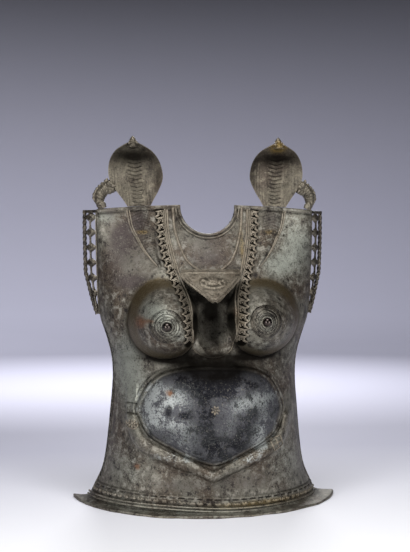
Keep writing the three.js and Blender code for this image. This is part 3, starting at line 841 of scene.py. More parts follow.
@dataclass(frozen=True)
class TorsoSkin:
    """Shell of the torso with the relief cast into it, its lining and its edges."""

    plate: Plate
    cols: int = 340
    chest_rows: int = 180
    belly_rows: int = 176
    split: float = 283.0
    edge_share: float = 0.03
    line_depth: float = 1.0
    band_pitch: float = 17.0
    side_band: tuple[float, float] = (5.0, 19.0)
    strap: tuple[float, float, float, float] = (-154.0, -135.0, 166.0, 243.0)
    strap_cuts: tuple[float, ...] = (201.0, 182.0)
    pits: tuple[tuple[float, float], ...] = ((155, 532), (149, 515), (-120, 60), (-158, 110), (60, 330))
    cobra: Table = Table(("z", "x", "half"), (
        (452, 92, 3), (468, 101.5, 8), (486, 110, 13), (507, 117, 17), (530, 123, 22), (564, 128, 24)))
    scute_pitch: float = 5.6

    @staticmethod
    def dash_line(x: Array) -> Array:
        """Height of the row of dashes, lower on the right."""
        return 31.4 - 4.0 * np.tanh((x + 35) / 70)

    def cobra_place(self, x: Array, z: Array) -> tuple[Array, Array]:
        """Place on the cobra body: share across it and distance from its middle."""
        off = np.abs(x) - self.cobra.read("x", z)
        return off / self.cobra.read("half", z), off

    def chest_relief(self, x: Array, z: Array) -> tuple[Array, Array]:
        """Low relief of the chest.

        Args:
            x: Places across.
            z: Places up.

        Returns:
            Rise in millimetres, and darkness of cut lines and of painted shade under the scroll bands.
        """
        lift = 0.45 * np.sin(x / 23 + 1.3) * np.sin(z / 29 + 0.4) + 0.3 * np.sin(x / 11.3 + z / 15.7)
        share, off = self.cobra_place(x, z)
        body = (np.abs(share) < 1) & (z > self.cobra.rows[0][0])
        swell = np.where(body, 0.4 + 5.2 * np.maximum(1 - share**2, 0) ** 0.8, 0)
        saw = np.abs(((z + 0.35 * np.abs(off)) / self.scute_pitch) % 1 - 0.5) * 2
        column = body * ease(1.0, 0.7, np.abs(share)) * ease(self.cobra.rows[0][0], 470, z)
        scute = column * ease(0.0, 0.45, saw)
        extra_dark = column * (0.16 + ease(0.3, 0.05, saw) * 0.45)
        rim = hump(z - (self.plate.neck_top - 9.5), 1.3)
        lift = lift + swell + 0.6 * scute - column * 0.5 - 0.8 * rim
        extra_dark = extra_dark + 0.6 * rim
        # Painted shade under the pierced scroll bands, so that the plate shows dark through their gaps
        under = nearest(smooth_path(ScrollBand.path, 60), np.abs(x), z)[0]
        extra_dark = extra_dark + 0.9 * ease(9.0, 6.5, under)
        for px, pz in self.pits:
            pit = hump(np.hypot(x - px, z - pz), 1.9)
            lift, extra_dark = lift - 1.4 * pit, extra_dark + 0.9 * pit
        return lift, extra_dark

    def belly_relief(self, x: Array, z: Array, y: Array) -> tuple[Array, Array]:
        """Low relief of the waist, belly and foot.

        Args:
            x: Places across.
            z: Places up.
            y: Places front to back.

        Returns:
            Rise in millimetres, and darkness of cut lines.
        """
        lift = 0.45 * np.sin(x / 21 + 0.3) * np.sin(z / 27 + 1.4) + 0.3 * np.sin(x / 12.3 - z / 16.7)
        inside = self.plate.belly_reach(x, z)[1]
        clear = ease(-1.0, -5.0, self.plate.roll(x, z))
        cuts = hump(inside - 1.2, 1.2) + 0.6 * hump(inside - 8.5, 1.3)
        rims = 1.3 * hump(inside + 2.5, 2.0) + 0.9 * hump(inside - 5, 1.9) - 1.2 * cuts
        lift = lift + clear * rims * (1 - 0.6 * ease(240, 268, z))
        extra_dark = clear * 0.55 * cuts * (1 - 0.8 * ease(235, 262, z))
        left, right, low, high = self.strap
        strap = ease(left - 1.5, left + 1.5, x) * ease(right + 1.5, right - 1.5, x) * ease(low, low + 5, z)
        strap = strap * ease(high, high - 25, z)
        lift = lift + 2.4 * strap
        for level in self.strap_cuts:
            cut = hump(z - level, 1.3) * strap
            lift, extra_dark = lift - 1.3 * cut, extra_dark + 0.7 * cut
        row = self.dash_line(x)
        band = ease(row - 15, row - 13.5, z) * ease(row + 5, row + 3.5, z)
        across = np.arctan2(x, 60 - y) * 190
        dash = hump(z - row, 1.2) * (np.abs((across / self.band_pitch) % 1 - 0.5) < 0.34)
        lift = lift + 2.4 * band - 2.0 * dash
        extra_dark = extra_dark + 0.8 * dash + 0.4 * hump(z - row - 5.5, 1.4) + 0.55 * hump(z - row + 10, 5.0)
        return lift, extra_dark

    def side_relief(self, x: Array, z: Array, y: Array) -> tuple[Array, Array]:
        """Stitched band along each side edge.

        Args:
            x: Places across.
            z: Places up.
            y: Places front to back.

        Returns:
            Rise in millimetres, and darkness of cut lines.
        """
        inset = self.plate.levels.read("edge", z) + self.plate.edge_flat - y
        near, far = self.side_band
        tall = ease(16, 24, z) * ease(345, 325, z)
        rails = hump(inset - near, 1.8) + hump(inset - far, 1.8)
        cuts = (np.abs(((z + 0.8 * inset) / 9.5) % 1 - 0.5) < 0.22) & (inset > near + 2) & (inset < far - 2)
        return tall * (1.1 * rails - 1.2 * cuts), tall * 0.85 * cuts

    def skin(self, rows: int, low: float, high: float) -> tuple[BMesh, Callable[[Array], Array]]:
        """Front face between two heights.

        Args:
            rows: Cells up.
            low: Lower edge.
            high: Upper edge.

        Returns:
            The sheet, and by vertex the darkness of its cut lines and of the painted shade under the scroll bands.
        """
        plate = self.plate
        held: dict[tuple[float, float, float], float] = {}

        def place(u: Array, v: Array) -> Array:
            """Point for each place across and up."""
            across = u * (1 + self.edge_share)
            z = low + (high - low) * (v + 1) / 2
            x = plate.wrapped(across, z)[0]
            y = -plate.depth(x, z)
            beyond = np.maximum(np.abs(across) - 1, 0) / self.edge_share
            y = np.where(beyond > 0, plate.levels.read("edge", z) + beyond * plate.edge_flat, y)
            spots = np.stack([x, y, z - plate.fall(x, z)], axis=-1)
            normal = np.cross(np.gradient(spots, axis=1), np.gradient(spots, axis=0))
            normal /= np.maximum(np.linalg.norm(normal, axis=-1, keepdims=True), 1e-9)
            upper, upper_dark = self.chest_relief(x, z)
            lower, lower_ink = self.belly_relief(x, z, y)
            share = ease(self.split - 4, self.split + 4, z)
            side, side_ink = self.side_relief(x, z, y)
            inner = np.abs(across) < 1
            lift = (upper * share + lower * (1 - share)) * ease(1.0, 0.97, np.abs(across)) + side * inner
            extra_dark = upper_dark * share + lower_ink * (1 - share) + side_ink * inner
            spots = spots + normal * lift[..., None]
            for spot, dark in zip(spots.reshape(-1, 3), extra_dark.ravel()):
                held[tuple(np.round(spot, 2))] = dark
            return spots

        bm = sheet(self.cols, rows, place)
        return bm, lambda spots: np.array([held.get(tuple(s), 0.0) for s in np.round(spots, 2)])

    def cut_notch(self, bm: BMesh) -> None:
        """Open the neck notch in a sheet, up to under its rim."""
        reach = self.plate.notch_radius + 1.5
        inside = [f for f in bm.faces
                  if math.hypot(f.calc_center_median().x, f.calc_center_median().z - self.plate.notch_z) < reach]
        bmesh.ops.delete(bm, geom=inside, context="FACES")

    def lining(self) -> BMesh:
        """Inner wall, smoother than the face."""
        plate = self.plate

        def place(u: Array, v: Array) -> Array:
            """Point for each place across and up."""
            z = 1 + (plate.neck_top - 2) * (v + 1) / 2
            x = plate.wrapped(u, z, plate.wall)[0]
            steps = (-6.0, 0.0, 6.0)
            deep = np.min([plate.depth(x + dx, z + dz) for dx in steps for dz in steps], axis=0)
            edge = -plate.levels.read("edge", z) - plate.edge_flat
            y = -np.maximum(np.minimum(deep, -plate.wrapped(u, z)[1] + 80) - plate.wall, edge)
            return np.stack([x, y, z - plate.fall(x, z)], axis=-1)

        return faced(sheet(150, 150, place), (0, 1, 0))

    def edges(self) -> list[BMesh]:
        """Bars that close the top, the neck notch and the sides."""
        plate = self.plate
        bars = []
        for hand in Hand:
            x = np.linspace(plate.notch_radius, plate.shoulder_half - 1, 60) * hand.value
            z = np.full_like(x, plate.neck_top - 3.5)
            top = np.column_stack([x, -plate.shell(x, z) + 0.8, z - plate.fall(x, z + 3.5)])
            bars.append(tube(top, 3.6, 16, front=(0, -1, 0), square=0.45, flat=0.98))
            z = np.linspace(1, plate.neck_top - 9, 120)
            x = plate.levels.read("half", z) * hand.value
            y = plate.levels.read("edge", z) + plate.edge_flat - 1
            bars.append(tube(np.column_stack([x - 2 * hand.value, y, z]), 2.3, 10))
        for reach, thick, lift in ((2.4, 2.7, 0.4), (8.6, 1.7, 0.3)):
            turn = np.linspace(-0.04, math.pi + 0.04, 90)
            radius = plate.notch_radius + reach
            x, z = radius * np.cos(turn), plate.notch_z - radius * np.sin(turn)
            bars.append(tube(np.column_stack([x, -plate.shell(x, z) - lift, z]), thick, 10, flat=1.3))
        return bars

    def build(self, shop: Workshop) -> None:
        """Make the skin, the lining and the edges.

        Args:
            shop: Where the pieces are finished.
        """
        chest, extra_dark = self.skin(self.chest_rows, self.split, self.plate.neck_top - 1)
        self.cut_notch(chest)
        shop.piece(faced(chest, (0, -1, 0)), "torso_chest", Slot.PLATE, ["torso_plate"], 75, extra_dark)
        belly, extra_dark = self.skin(self.belly_rows, 0.5, self.split)
        shop.piece(faced(belly, (0, -1, 0)), "torso_belly", Slot.PLATE, ["torso_plate"], 75, extra_dark)
        lining = self.lining()
        self.cut_notch(lining)
        shop.piece(lining, "torso_lining", Slot.PLATE, ["torso_plate"], 75)
        shop.piece(joined(self.edges()), "torso_edges", Slot.PLATE, ["torso_plate"])


@dataclass(frozen=True)
class ChestRibs:
    """Raised ribs of the collar and the bodice, and the ridges of the cobra bodies."""

    plate: Plate
    skin: TorsoSkin
    collar: tuple[tuple[float, float], ...] = ((66, 566), (62, 520), (45, 470), (20, 446))
    bodice: tuple[tuple[float, float], ...] = (
        (77, 564), (73.5, 512), (60, 450), (46, 408), (41, 380), (40.5, 335), (36, 306), (21, 293), (0, 288))

    def build(self, shop: Workshop) -> None:
        """Make the ribs.

        Args:
            shop: Where the pieces are finished.
        """
        plate = self.plate
        ribs = []
        for hand in Hand:
            side = hand.value
            line = smooth_path([(side * x, z) for x, z in self.collar], 60)
            ribs.append(tube(plate.laid(line, 0.3), 2.9, 10, flat=0.9))
            upper = smooth_path([(side * (x + 4), z) for x, z in self.bodice[:3]], 50)
            ribs.append(tube(plate.laid(upper, 0.2), 1.5, 8))
            z = np.linspace(self.skin.cobra.rows[-1][0], 454, 60)
            for share, thick in ((1.02, 1.9), (0.84, 1.2)):
                x = self.skin.cobra.read("x", z) + share * self.skin.cobra.read("half", z)
                lift = 0.4 + 5.2 * max(1 - share**2, 0) ** 0.8
                ribs.append(tube(plate.laid(np.column_stack([side * x, z]), lift), thick, 8))
        both = [*self.bodice, *[(-x, z) for x, z in self.bodice[-2::-1]]]
        line = smooth_path(both, 190)
        ribs.append(tube(plate.laid(line, 0.2), 1.2 + 0.8 * ease(300, 350, line[:, 1]), 8))
        shop.piece(joined(ribs), "chest_ribs", Slot.PALE)


@dataclass(frozen=True)
class FootFlange:
    """Flared foot, uneven along its rim, with the two ridges above it and the leaf row of the base band."""

    plate: Plate
    skin: TorsoSkin
    front: float = -146.0
    junction: float = 13.0
    left_half: float = 253.0
    left_edge: float = 62.0
    right_half: float = 264.0
    right_edge: float = 40.0
    leaf_pitch: float = 15.0
    leaves: tuple[tuple[float, float, tuple[float, float, float]], ...] = (
        (0.6, -0.006, (4.2, 1.9, 2.6)), (-0.6, 0.006, (4.4, 2.1, 2.7)), (0.2, 0.015, (2.4, 1.6, 2.2)))

    def rim(self, across: Array) -> tuple[Array, Array]:
        """Rim of the foot at a place across, as x and y."""
        side = ease(-0.25, 0.25, across)
        half = np.where(across < 0, self.left_half, self.right_half)
        edge = np.where(across < 0, self.left_edge, self.right_edge)
        turn = np.clip(across, -1, 1) * self.plate.wrap
        bulge = (np.cos(turn) - math.cos(self.plate.wrap)) / (1 - math.cos(self.plate.wrap))
        wave = 1.2 * np.sin(across * 19 + 1) + 0.9 * np.sin(across * 41) - 1.5 * side * np.sin(across * 27) - 2.2
        front = self.front - wave
        return half * np.sin(turn) / math.sin(self.plate.wrap), edge + (front - edge) * bulge

    def build(self, shop: Workshop) -> None:
        """Make the foot and its ornament.

        Args:
            shop: Where the pieces are finished.
        """
        plate = self.plate
        profile = np.array([(-0.12, 0.0), (-0.12, 12.5), (0.0, 13.5), (0.12, 10.6), (0.3, 8.0), (0.55, 6.0), (0.8, 4.9),
                            (0.95, 4.4), (0.99, 3.6), (1.0, 2.0), (0.99, 0.4), (0.95, 0.0), (0.5, 0.0), (-0.12, 0.0)])

        def place(u: Array, v: Array) -> Array:
            """Point for each place across and round the section."""
            across = u * 1.02
            beyond = np.maximum(np.abs(across) - 1, 0) / 0.02 * plate.edge_flat
            at = (v + 1) / 2 * (len(profile) - 1)
            out = np.interp(at, np.arange(len(profile)), profile[:, 0])
            z = np.interp(at, np.arange(len(profile)), profile[:, 1])
            root_x, root_y = plate.wrapped(across, np.full_like(u, self.junction), 1.5)
            rim_x, rim_y = self.rim(across)
            bent = 0.9 * np.sin(across * 13 + 2) * ease(0.3, 1.0, out) * (z > 2)
            x = root_x + (rim_x - root_x) * out
            y = root_y + (rim_y - root_y) * out + beyond
            return np.stack([x, y, np.maximum(z + bent, 0)], axis=-1)

        foot = sheet(320, (len(profile) - 1) * 3, place)
        bmesh.ops.remove_doubles(foot, verts=foot.verts, dist=0.01)
        bmesh.ops.holes_fill(foot, edges=[e for e in foot.edges if e.is_boundary], sides=0)
        bmesh.ops.recalc_face_normals(foot, faces=foot.faces)
        shop.piece(foot, "foot_flange", Slot.PLATE, ["torso_plate"], 60)

        across = np.linspace(-0.985, 0.985, 220)
        ridges = []
        for drop, out, thick in ((15.5, 3.2, 2.0), (20.5, 5.5, 1.8)):
            x, y = plate.wrapped(across, np.full_like(across, 14.0), -out)
            ridges.append(tube(np.column_stack([x, y, self.skin.dash_line(x) - drop]), thick, 8, front=(0, 0, 1)))
        count = int(2 * 275 / self.leaf_pitch)
        for i in range(count):
            share = -0.97 + 1.94 * (i + 0.5) / count
            for lean, step, half in self.leaves:
                at = np.array([share + step * (1 + 0.5 * math.sin(5.1 * i))])
                lean = lean * (1 + 0.7 * math.sin(3.7 * i))
                z = self.skin.dash_line(plate.wrapped(at, np.array([20.0]))[0]) - 8.0
                x, y = plate.wrapped(at, z, -2.6)
                turn = Matrix.Rotation((share + step) * plate.wrap * 0.9, 3, "Z") @ Matrix.Rotation(lean, 3, "Y")
                ridges.append(ball((x[0], y[0], z[0]), half, turn, 10))
        shop.piece(joined(ridges), "base_band", Slot.PLATE)


@dataclass(frozen=True)
class SashOrnament:
    """Flower on the navel, rosette on the strap and crossed square on the sash."""

    plate: Plate
    navel: tuple[float, float, float] = (0.0, 197.0, 9.5)
    rosette: tuple[float, float, float] = (-145.0, 165.0, 10.0)
    knot: tuple[float, float, float] = (123.0, 127.0, 10.5)

    def flower(self, x: float, z: float, radius: float, petals: int, lift: float, rimmed: bool) -> list[BMesh]:
        """Petals round a middle, in a ring.

        Args:
            x: Place across.
            z: Place up.
            radius: Its outer radius.
            petals: How many.
            lift: How far it stands off the plate.
            rimmed: Whether a ring runs round it.

        Returns:
            Its parts.
        """
        plate = self.plate
        turn = np.linspace(0, 2 * math.pi, 49)
        ring = np.column_stack([x + radius * np.cos(turn), z + radius * np.sin(turn)])
        parts = [tube(plate.laid(ring, lift), 1.2, 8)] if rimmed else []
        for i in range(petals):
            angle = 2 * math.pi * i / petals
            px, pz = x + 0.56 * radius * math.cos(angle), z + 0.56 * radius * math.sin(angle)
            y = -float(plate.depth(np.array([px]), np.array([pz]))[0]) - lift
            parts.append(ball((px, y, pz), (0.36 * radius, 1.7, 0.22 * radius), Matrix.Rotation(-angle, 3, "Y"), 10))
        y = -float(plate.depth(np.array([x]), np.array([z]))[0]) - lift
        parts.append(ball((x, y, z), (0.26 * radius, 2.6, 0.26 * radius), sides=12))
        return parts

    def build(self, shop: Workshop) -> None:
        """Make the ornaments.

        Args:
            shop: Where the pieces are finished.
        """
        plate = self.plate
        parts = self.flower(*self.navel, 7, 0.4, False) + self.flower(*self.rosette, 8, 1.2, True)
        x, z, radius = self.knot
        slant = math.atan2(14, 34)
        for turn, reach in ((0.0, radius), (math.pi / 2, radius)):
            for off in (-radius, 0.0, radius):
                t = np.linspace(-reach, reach, 16)
                a, b = t, np.full_like(t, off)
                if turn:
                    a, b = b, a
                line = np.column_stack([x + a * math.cos(slant) - b * math.sin(slant),
                                        z + a * math.sin(slant) + b * math.cos(slant)])
                parts.append(tube(plate.laid(line, 0.5), 1.3, 8))
        shop.piece(joined(parts), "sash_ornament", Slot.PALE)


@dataclass(frozen=True)
class ScrollBand:
    """Pierced band of rings and curled leaves laid on the chest."""

    plate: Plate
    hand: Hand
    cells: int = 19
    ring: float = 3.9
    wire: float = 1.7
    clear: float = 1.4
    half: float = 8.5
    path: tuple[tuple[float, float], ...] = (
        (92, 560), (88, 512), (80, 467), (66, 427), (53, 388), (49, 345), (49, 318))

    def lay(self, spots: Array, line: Array, length: float) -> Array:
        """Bend flat places onto the chest.

        Args:
            spots: Along, across and lift.
            line: The band's middle line, evenly spaced.
            length: Its length.

        Returns:
            Points in space.
        """
        at = np.clip(spots[:, 0] / length, 0, 1) * (len(line) - 1)
        steps = np.arange(len(line))
        tangent = np.gradient(line, axis=0)
        tangent /= np.linalg.norm(tangent, axis=1)[:, None]
        px, pz = (np.interp(at, steps, line[:, k]) for k in (0, 1))
        tx, tz = (np.interp(at, steps, tangent[:, k]) for k in (0, 1))
        x, z = px - spots[:, 1] * tz, pz + spots[:, 1] * tx
        x = self.hand.value * x
        return np.column_stack([x, -self.plate.depth(x, z) - self.clear - spots[:, 2], z])

    def build(self, shop: Workshop) -> None:
        """Make the band.

        Args:
            shop: Where the pieces are finished.
        """
        line = smooth_path(self.path, 240)
        length = float(np.linalg.norm(np.diff(line, axis=0), axis=1).sum())
        pitch = length / self.cells
        flat = (0, 0, 1)
        parts = []
        along = np.linspace(0, length, 160)
        rail = np.column_stack([along, np.full_like(along, -self.half + 1.0), np.full_like(along, 0.6)])
        parts.append(tube(rail, 1.2, 6, front=flat))
        for i in range(self.cells):
            s = (i + 0.5) * pitch
            sway = 0.5 * math.sin(2.4 * i)
            coil = [(s + self.ring * math.cos(t), -1.2 + self.ring * math.sin(t), 1.2)
                    for t in np.linspace(5.6, 0.9, 9)]
            leaf = [(s + 0.28 * pitch, 5.0 + sway, 1.8), (s + 0.42 * pitch, 7.6 + sway, 1.5),
                    (s + 0.3 * pitch, 10.0 + sway, 0.8)]
            scroll = smooth_path([*coil, *leaf], 30, dims=3)
            thick = self.wire * np.interp(np.arange(30), (0, 8, 20, 25, 29), (0.6, 0.9, 1.1, 1.25, 0.35))
            parts.append(tube(scroll, thick, 8, front=flat))
            heel = smooth_path([(s - 0.5 * pitch, -6.5, 0.6), (s - 0.4 * pitch, -2.0, 1.6),
                                (s - 0.34 * pitch, 3.2, 1.8), (s - 0.42 * pitch, 7.0, 1.0)], 14, dims=3)
            thin = self.wire * np.interp(np.arange(14), (0, 5, 9, 13), (0.6, 0.9, 1.0, 0.4))
            parts.append(tube(heel, thin, 7, front=flat))
            parts.append(ball((s, -1.2, 0.7), (1.5, 1.5, 1.0), sides=8))
        band = joined(parts)
        move(band, lambda spots: self.lay(spots, line, length))
        name = self.hand.name.lower()
        shop.piece(band, f"scroll_band_{name}_openwork", Slot.PALE, [f"scroll_band_{name}"])


@dataclass(frozen=True)
class PendantShield:
    """Pointed plate over the hollow between the breasts, with a beaded border and a lotus."""

    plate: Plate
    reach: float = 68.0
    bow: float = 6.0
    clear: float = 0.3
    rows: Table = Table(("z", "half"), (
        (392, 2), (399, 14), (409, 28), (421, 43), (432, 54), (439, 56), (446, 52)))

    def spot(self, across: Array, z: Array, lift: Array | float) -> Array:
        """Place on the shield's face.

        Args:
            across: From -1 to 1.
            z: Height.
            lift: How far off the face.

        Returns:
            Points in space.
        """
        low, high = self.rows.rows[0][0], self.rows.rows[-1][0]
        up = (z - low) / (high - low)
        x = across * self.rows.read("half", z)
        forward = self.reach * (1 - up) + self.bow * (1 - across**2)
        back = self.plate.shell(x, np.full_like(x, high)) + self.clear + forward
        return np.stack([x, -back - self.plate.wall - lift, z], axis=-1)

    def relief(self, x: Array, z: Array) -> Array:
        """Lotus relief in the middle: three rows of petals over two curls."""
        lift = np.zeros_like(x)
        for turn in (-62, -31, 0, 31, 62):
            angle = math.radians(turn)
            along = (x * math.sin(angle) + (z - 421) * math.cos(angle))
            aside = (x * math.cos(angle) - (z - 421) * math.sin(angle))
            petal = hump((along - 7.5) / 6.0, 1.0) * hump(aside / 2.2, 1.0)
            lift = np.maximum(lift, 1.6 * petal)
        for side in (-1, 1):
            ring = np.hypot(x - side * 17, (z - 424) * 1.2)
            lift = np.maximum(lift, 1.3 * hump(ring - 5.0, 1.5))
            lift = np.maximum(lift, 1.2 * hump(z - 415 - 0.012 * x**2, 1.4) * (np.abs(x) < 22))
        return lift

    def build(self, shop: Workshop) -> None:
        """Make the shield.

        Args:
            shop: Where the pieces are finished.
        """
        low, high = self.rows.rows[0][0], self.rows.rows[-1][0]

        def place(u: Array, v: Array) -> Array:
            """Point for each place across and up."""
            z = low + (high - low) * (v + 1) / 2
            x = u * self.rows.read("half", z)
            inset = (1 - np.abs(u)) * self.rows.read("half", z) * 0.72
            border = 1.3 * hump(inset - 5.5, 1.0) * (z < 436) + 0.9 * hump(z - 441, 1.2)
            return self.spot(u, z, 1.7 * self.relief(x, z) + border)

        face = faced(sheet(110, 70, place), (0, -1, 0))
        bmesh.ops.solidify(face, geom=face.faces, thickness=-self.plate.wall)
        bmesh.ops.recalc_face_normals(face, faces=face.faces)
        beads = []
        for hand in Hand:
            z = np.linspace(low + 3, 433, 15)
            inset = 1 - 2.4 / np.maximum(self.rows.read("half", z), 3)
            for spot in self.spot(hand.value * inset, z, 0.3):
                beads.append(ball(spot, (2.8, 2.4, 2.7), sides=8))

        def extra_dark(spots: Array) -> Array:
            """Darkness round the lotus and inside the beads."""
            x, z = spots[:, 0], spots[:, 2]
            inset = (self.rows.read("half", z) - np.abs(x)) * 0.72
            field = ease(1.0, 0.8, np.hypot(x / 27, (z - 423) / 13)) * ease(0.5, 0.1, self.relief(x, z))
            return 0.5 * field + 0.7 * hump(inset - 4.6, 0.9) * (z < 434) * (spots[:, 1] < 0)

        shop.piece(joined([face, *beads]), "pendant_shield_relief", Slot.PALE, ["pendant_shield"], extra_dark=extra_dark)


@dataclass(frozen=True)
class NippleBoss:
    """Ringed boss with its polished knob at the crown of a breast."""

    plate: Plate
    hand: Hand
    outer: float = 29.5
    ring_pitch: float = 4.9
    ring_rise: float = 0.6
    knob: float = 8.4
    knob_rise: float = 13.4

    def build(self, shop: Workshop) -> None:
        """Make the boss.

        Args:
            shop: Where the pieces are finished.
        """
        radius = np.linspace(self.outer, self.knob - 0.6, 72)
        inward = self.outer - radius
        groove = hump(inward % self.ring_pitch - self.ring_pitch / 2, 0.7)
        rise = 2.0 - self.ring_rise * groove + 0.07 * inward
        rise += 0.8 * hump(radius - 27, 1.6) + 1.2 * hump(radius - self.knob - 2.2, 1.8)
        rings = lathe([(self.outer + 0.8, -0.6), *zip(radius, rise)], 88)
        middle = self.knob_rise - self.knob
        arc = np.linspace(-0.45, math.pi / 2, 18)
        round_part = [(self.knob * math.cos(t), middle + self.knob * math.sin(t)) for t in arc]
        knob = lathe([(0.01, round_part[0][1]), *round_part], 32)
        plate, crown = self.plate, self.plate.breast(self.hand)

        def bent(spots: Array) -> Array:
            """Lay the turned rings on the dome."""
            x, z = crown.x + spots[:, 0], crown.z + spots[:, 1]
            return np.column_stack([x, -plate.depth(x, z) - spots[:, 2], z])

        def stood(spots: Array) -> Array:
            """Stand the knob on the dome's crown."""
            base = float(plate.depth(np.array([crown.x]), np.array([crown.z]))[0])
            return np.column_stack([crown.x + spots[:, 0], -base - spots[:, 2], crown.z + spots[:, 1]])

        name = f"nipple_boss_{self.hand.name.lower()}"
        shop.piece(faced(move(rings, bent), (0, -1, 0)), f"{name}_rings", Slot.DARK, [name], 70)
        bmesh.ops.recalc_face_normals(move(knob, stood), faces=knob.faces)
        shop.piece(knob, f"{name}_knob", Slot.DARK, crease=70, handled=True)


@dataclass(frozen=True)
class CobraHood:
    """Dished hood with its column of scutes, head and bud."""

    plate: Plate
    hand: Hand
    middle: float
    lean: float
    column: float = 14.5
    scute_pitch: float = 7.4
    head_y: float = -62.0
    head_z: float = 682.0
    rows: Table = Table(("z", "half", "y", "dish"), (
        (568, 22, -31, 2), (580, 29, -30, 5), (597, 40, -28, 9), (618, 50, -27, 13), (634, 51, -29, 14),
        (654, 46, -36, 12), (671, 34, -46, 8), (681, 18, -54, 4), (686, 7, -59, 2)))
    bud: tuple[tuple[float, float], ...] = (
        (0.01, 684), (4, 685), (6.2, 688), (6.4, 690.5), (4.6, 694), (2.2, 697), (0.01, 699))

    def face(self, across: Array, z: Array, lift: Array | float) -> Array:
        """Place on the hood's middle surface.

        Args:
            across: From -1 to 1.
            z: Height.
            lift: How far in front of it.

        Returns:
            Points in space.
        """
        low, high = self.rows.rows[0][0], self.rows.rows[-1][0]
        up = (z - low) / (high - low)
        x = self.middle + self.lean * up + across * self.rows.read("half", z)
        slope = self.rows.read("y", z + 1) - self.rows.read("y", z - 1)
        run = np.hypot(slope, 2)
        y = self.rows.read("y", z) - self.rows.read("dish", z) * across**2
        top = self.plate.neck_top - self.plate.fall(x, np.full_like(x, self.plate.neck_top)) + 0.3
        level = np.where(up > 0.001, z, top)
        return np.stack([self.hand.value * x, y - lift * 2 / run, level + lift * slope / run], axis=-1)

    def relief(self, u: Array, z: Array) -> tuple[Array, Array]:
        """Scute column and faint ribs of the hood.

        Args:
            u: Share across.
            z: Height.

        Returns:
            Rise and darkness.
        """
        off = u * self.rows.read("half", z)
        wide = self.column * (0.82 + 0.18 * ease(590, 640, z)) * ease(684, 668, z)
        inside = np.clip((wide - np.abs(off)) / 1.5, 0, 1)
        saw = np.abs(((z - 0.25 * np.abs(off)) / self.scute_pitch) % 1 - 0.5) * 2
        lift = inside * (0.2 + 1.3 * ease(0.0, 0.5, saw)) + 1.2 * hump(np.abs(off) - wide, 1.4)
        lift += (1 - inside) * 0.3 * np.sin(off * 1.1 + 0.02 * z) * ease(1.0, 0.8, np.abs(u))
        plain = ease(662, 640, z)
        return lift * (0.25 + 0.75 * plain), inside * 0.35 * ease(0.3, 0.05, saw) * plain

    def build(self, shop: Workshop) -> None:
        """Make the hood.

        Args:
            shop: Where the pieces are finished.
        """
        low, high = self.rows.rows[0][0], self.rows.rows[-1][0]
        half = self.plate.wall / 2
        count = 150

        def place(u: Array, v: Array) -> Array:
            """Point for each place round the section and up."""
            turn = (u + 1) * math.pi
            across = np.cos(turn)
            front = np.sin(turn) > 0
            z = low + (high - low) * (v + 1) / 2
            thick = half * np.abs(np.sin(turn)) ** 0.35
            lift = np.where(front, thick + self.relief(across, z)[0] * ease(0, 0.3, np.abs(np.sin(turn))), -thick)
            return self.face(across, z, lift)

        hood = sheet(count, 110, place)
        bmesh.ops.remove_doubles(hood, verts=hood.verts, dist=1e-3)
        bmesh.ops.holes_fill(hood, edges=[e for e in hood.edges if e.is_boundary], sides=0)
        bmesh.ops.recalc_face_normals(hood, faces=hood.faces)
        top = self.hand.value * (self.middle + self.lean)
        name = self.hand.name.lower()

        def extra_dark(spots: Array) -> Array:
            """Dark lines between the scutes."""
            z = spots[:, 2]
            up = (z - low) / (high - low)
            off = self.hand.value * spots[:, 0] - self.middle - self.lean * up
            across = np.clip(off / self.rows.read("half", z), -1, 1)
            front = spots[:, 1] < self.rows.read("y", z) - self.rows.read("dish", z) * across**2
            return self.relief(across, z)[1] * front * (z < 672)

        shop.piece(hood, f"cobra_hood_{name}_dish", Slot.HOOD, [f"cobra_hood_{name}"], 60, extra_dark)
        y, z = self.head_y, self.head_z
        parts = [ball((top, y + 2, z - 1), (10.5, 11, 7.5), sides=20),
                 ball((top, y - 7, z - 3), (7.5, 8, 5.5), sides=18)]
        for side in (-1, 1):
            parts.append(ball((top + side * 7.2, y - 5, z + 1.5), (2.3, 2.6, 2.3), sides=12))
            parts.append(ball((top + side * 5.5, y - 1, z + 5.0), (3.0, 5.0, 1.8), sides=12))
            lip = smooth_path([(top + side * 9.5, y + 1, z - 4), (top + side * 7.5, y - 9, z - 5.2),
                               (top, y - 14.6, z - 4.2)], 14, dims=3)
            parts.append(tube(lip, np.linspace(1.1, 1.5, 14), 7, front=(0, 0, 1)))
        bud = lathe(self.bud, 24)
        bmesh.ops.translate(bud, verts=bud.verts, vec=(top, y + 5, 0))
        shop.piece(joined([*parts, bud]), f"cobra_hood_{name}_head", Slot.HOOD, [f"cobra_hood_{name}"])


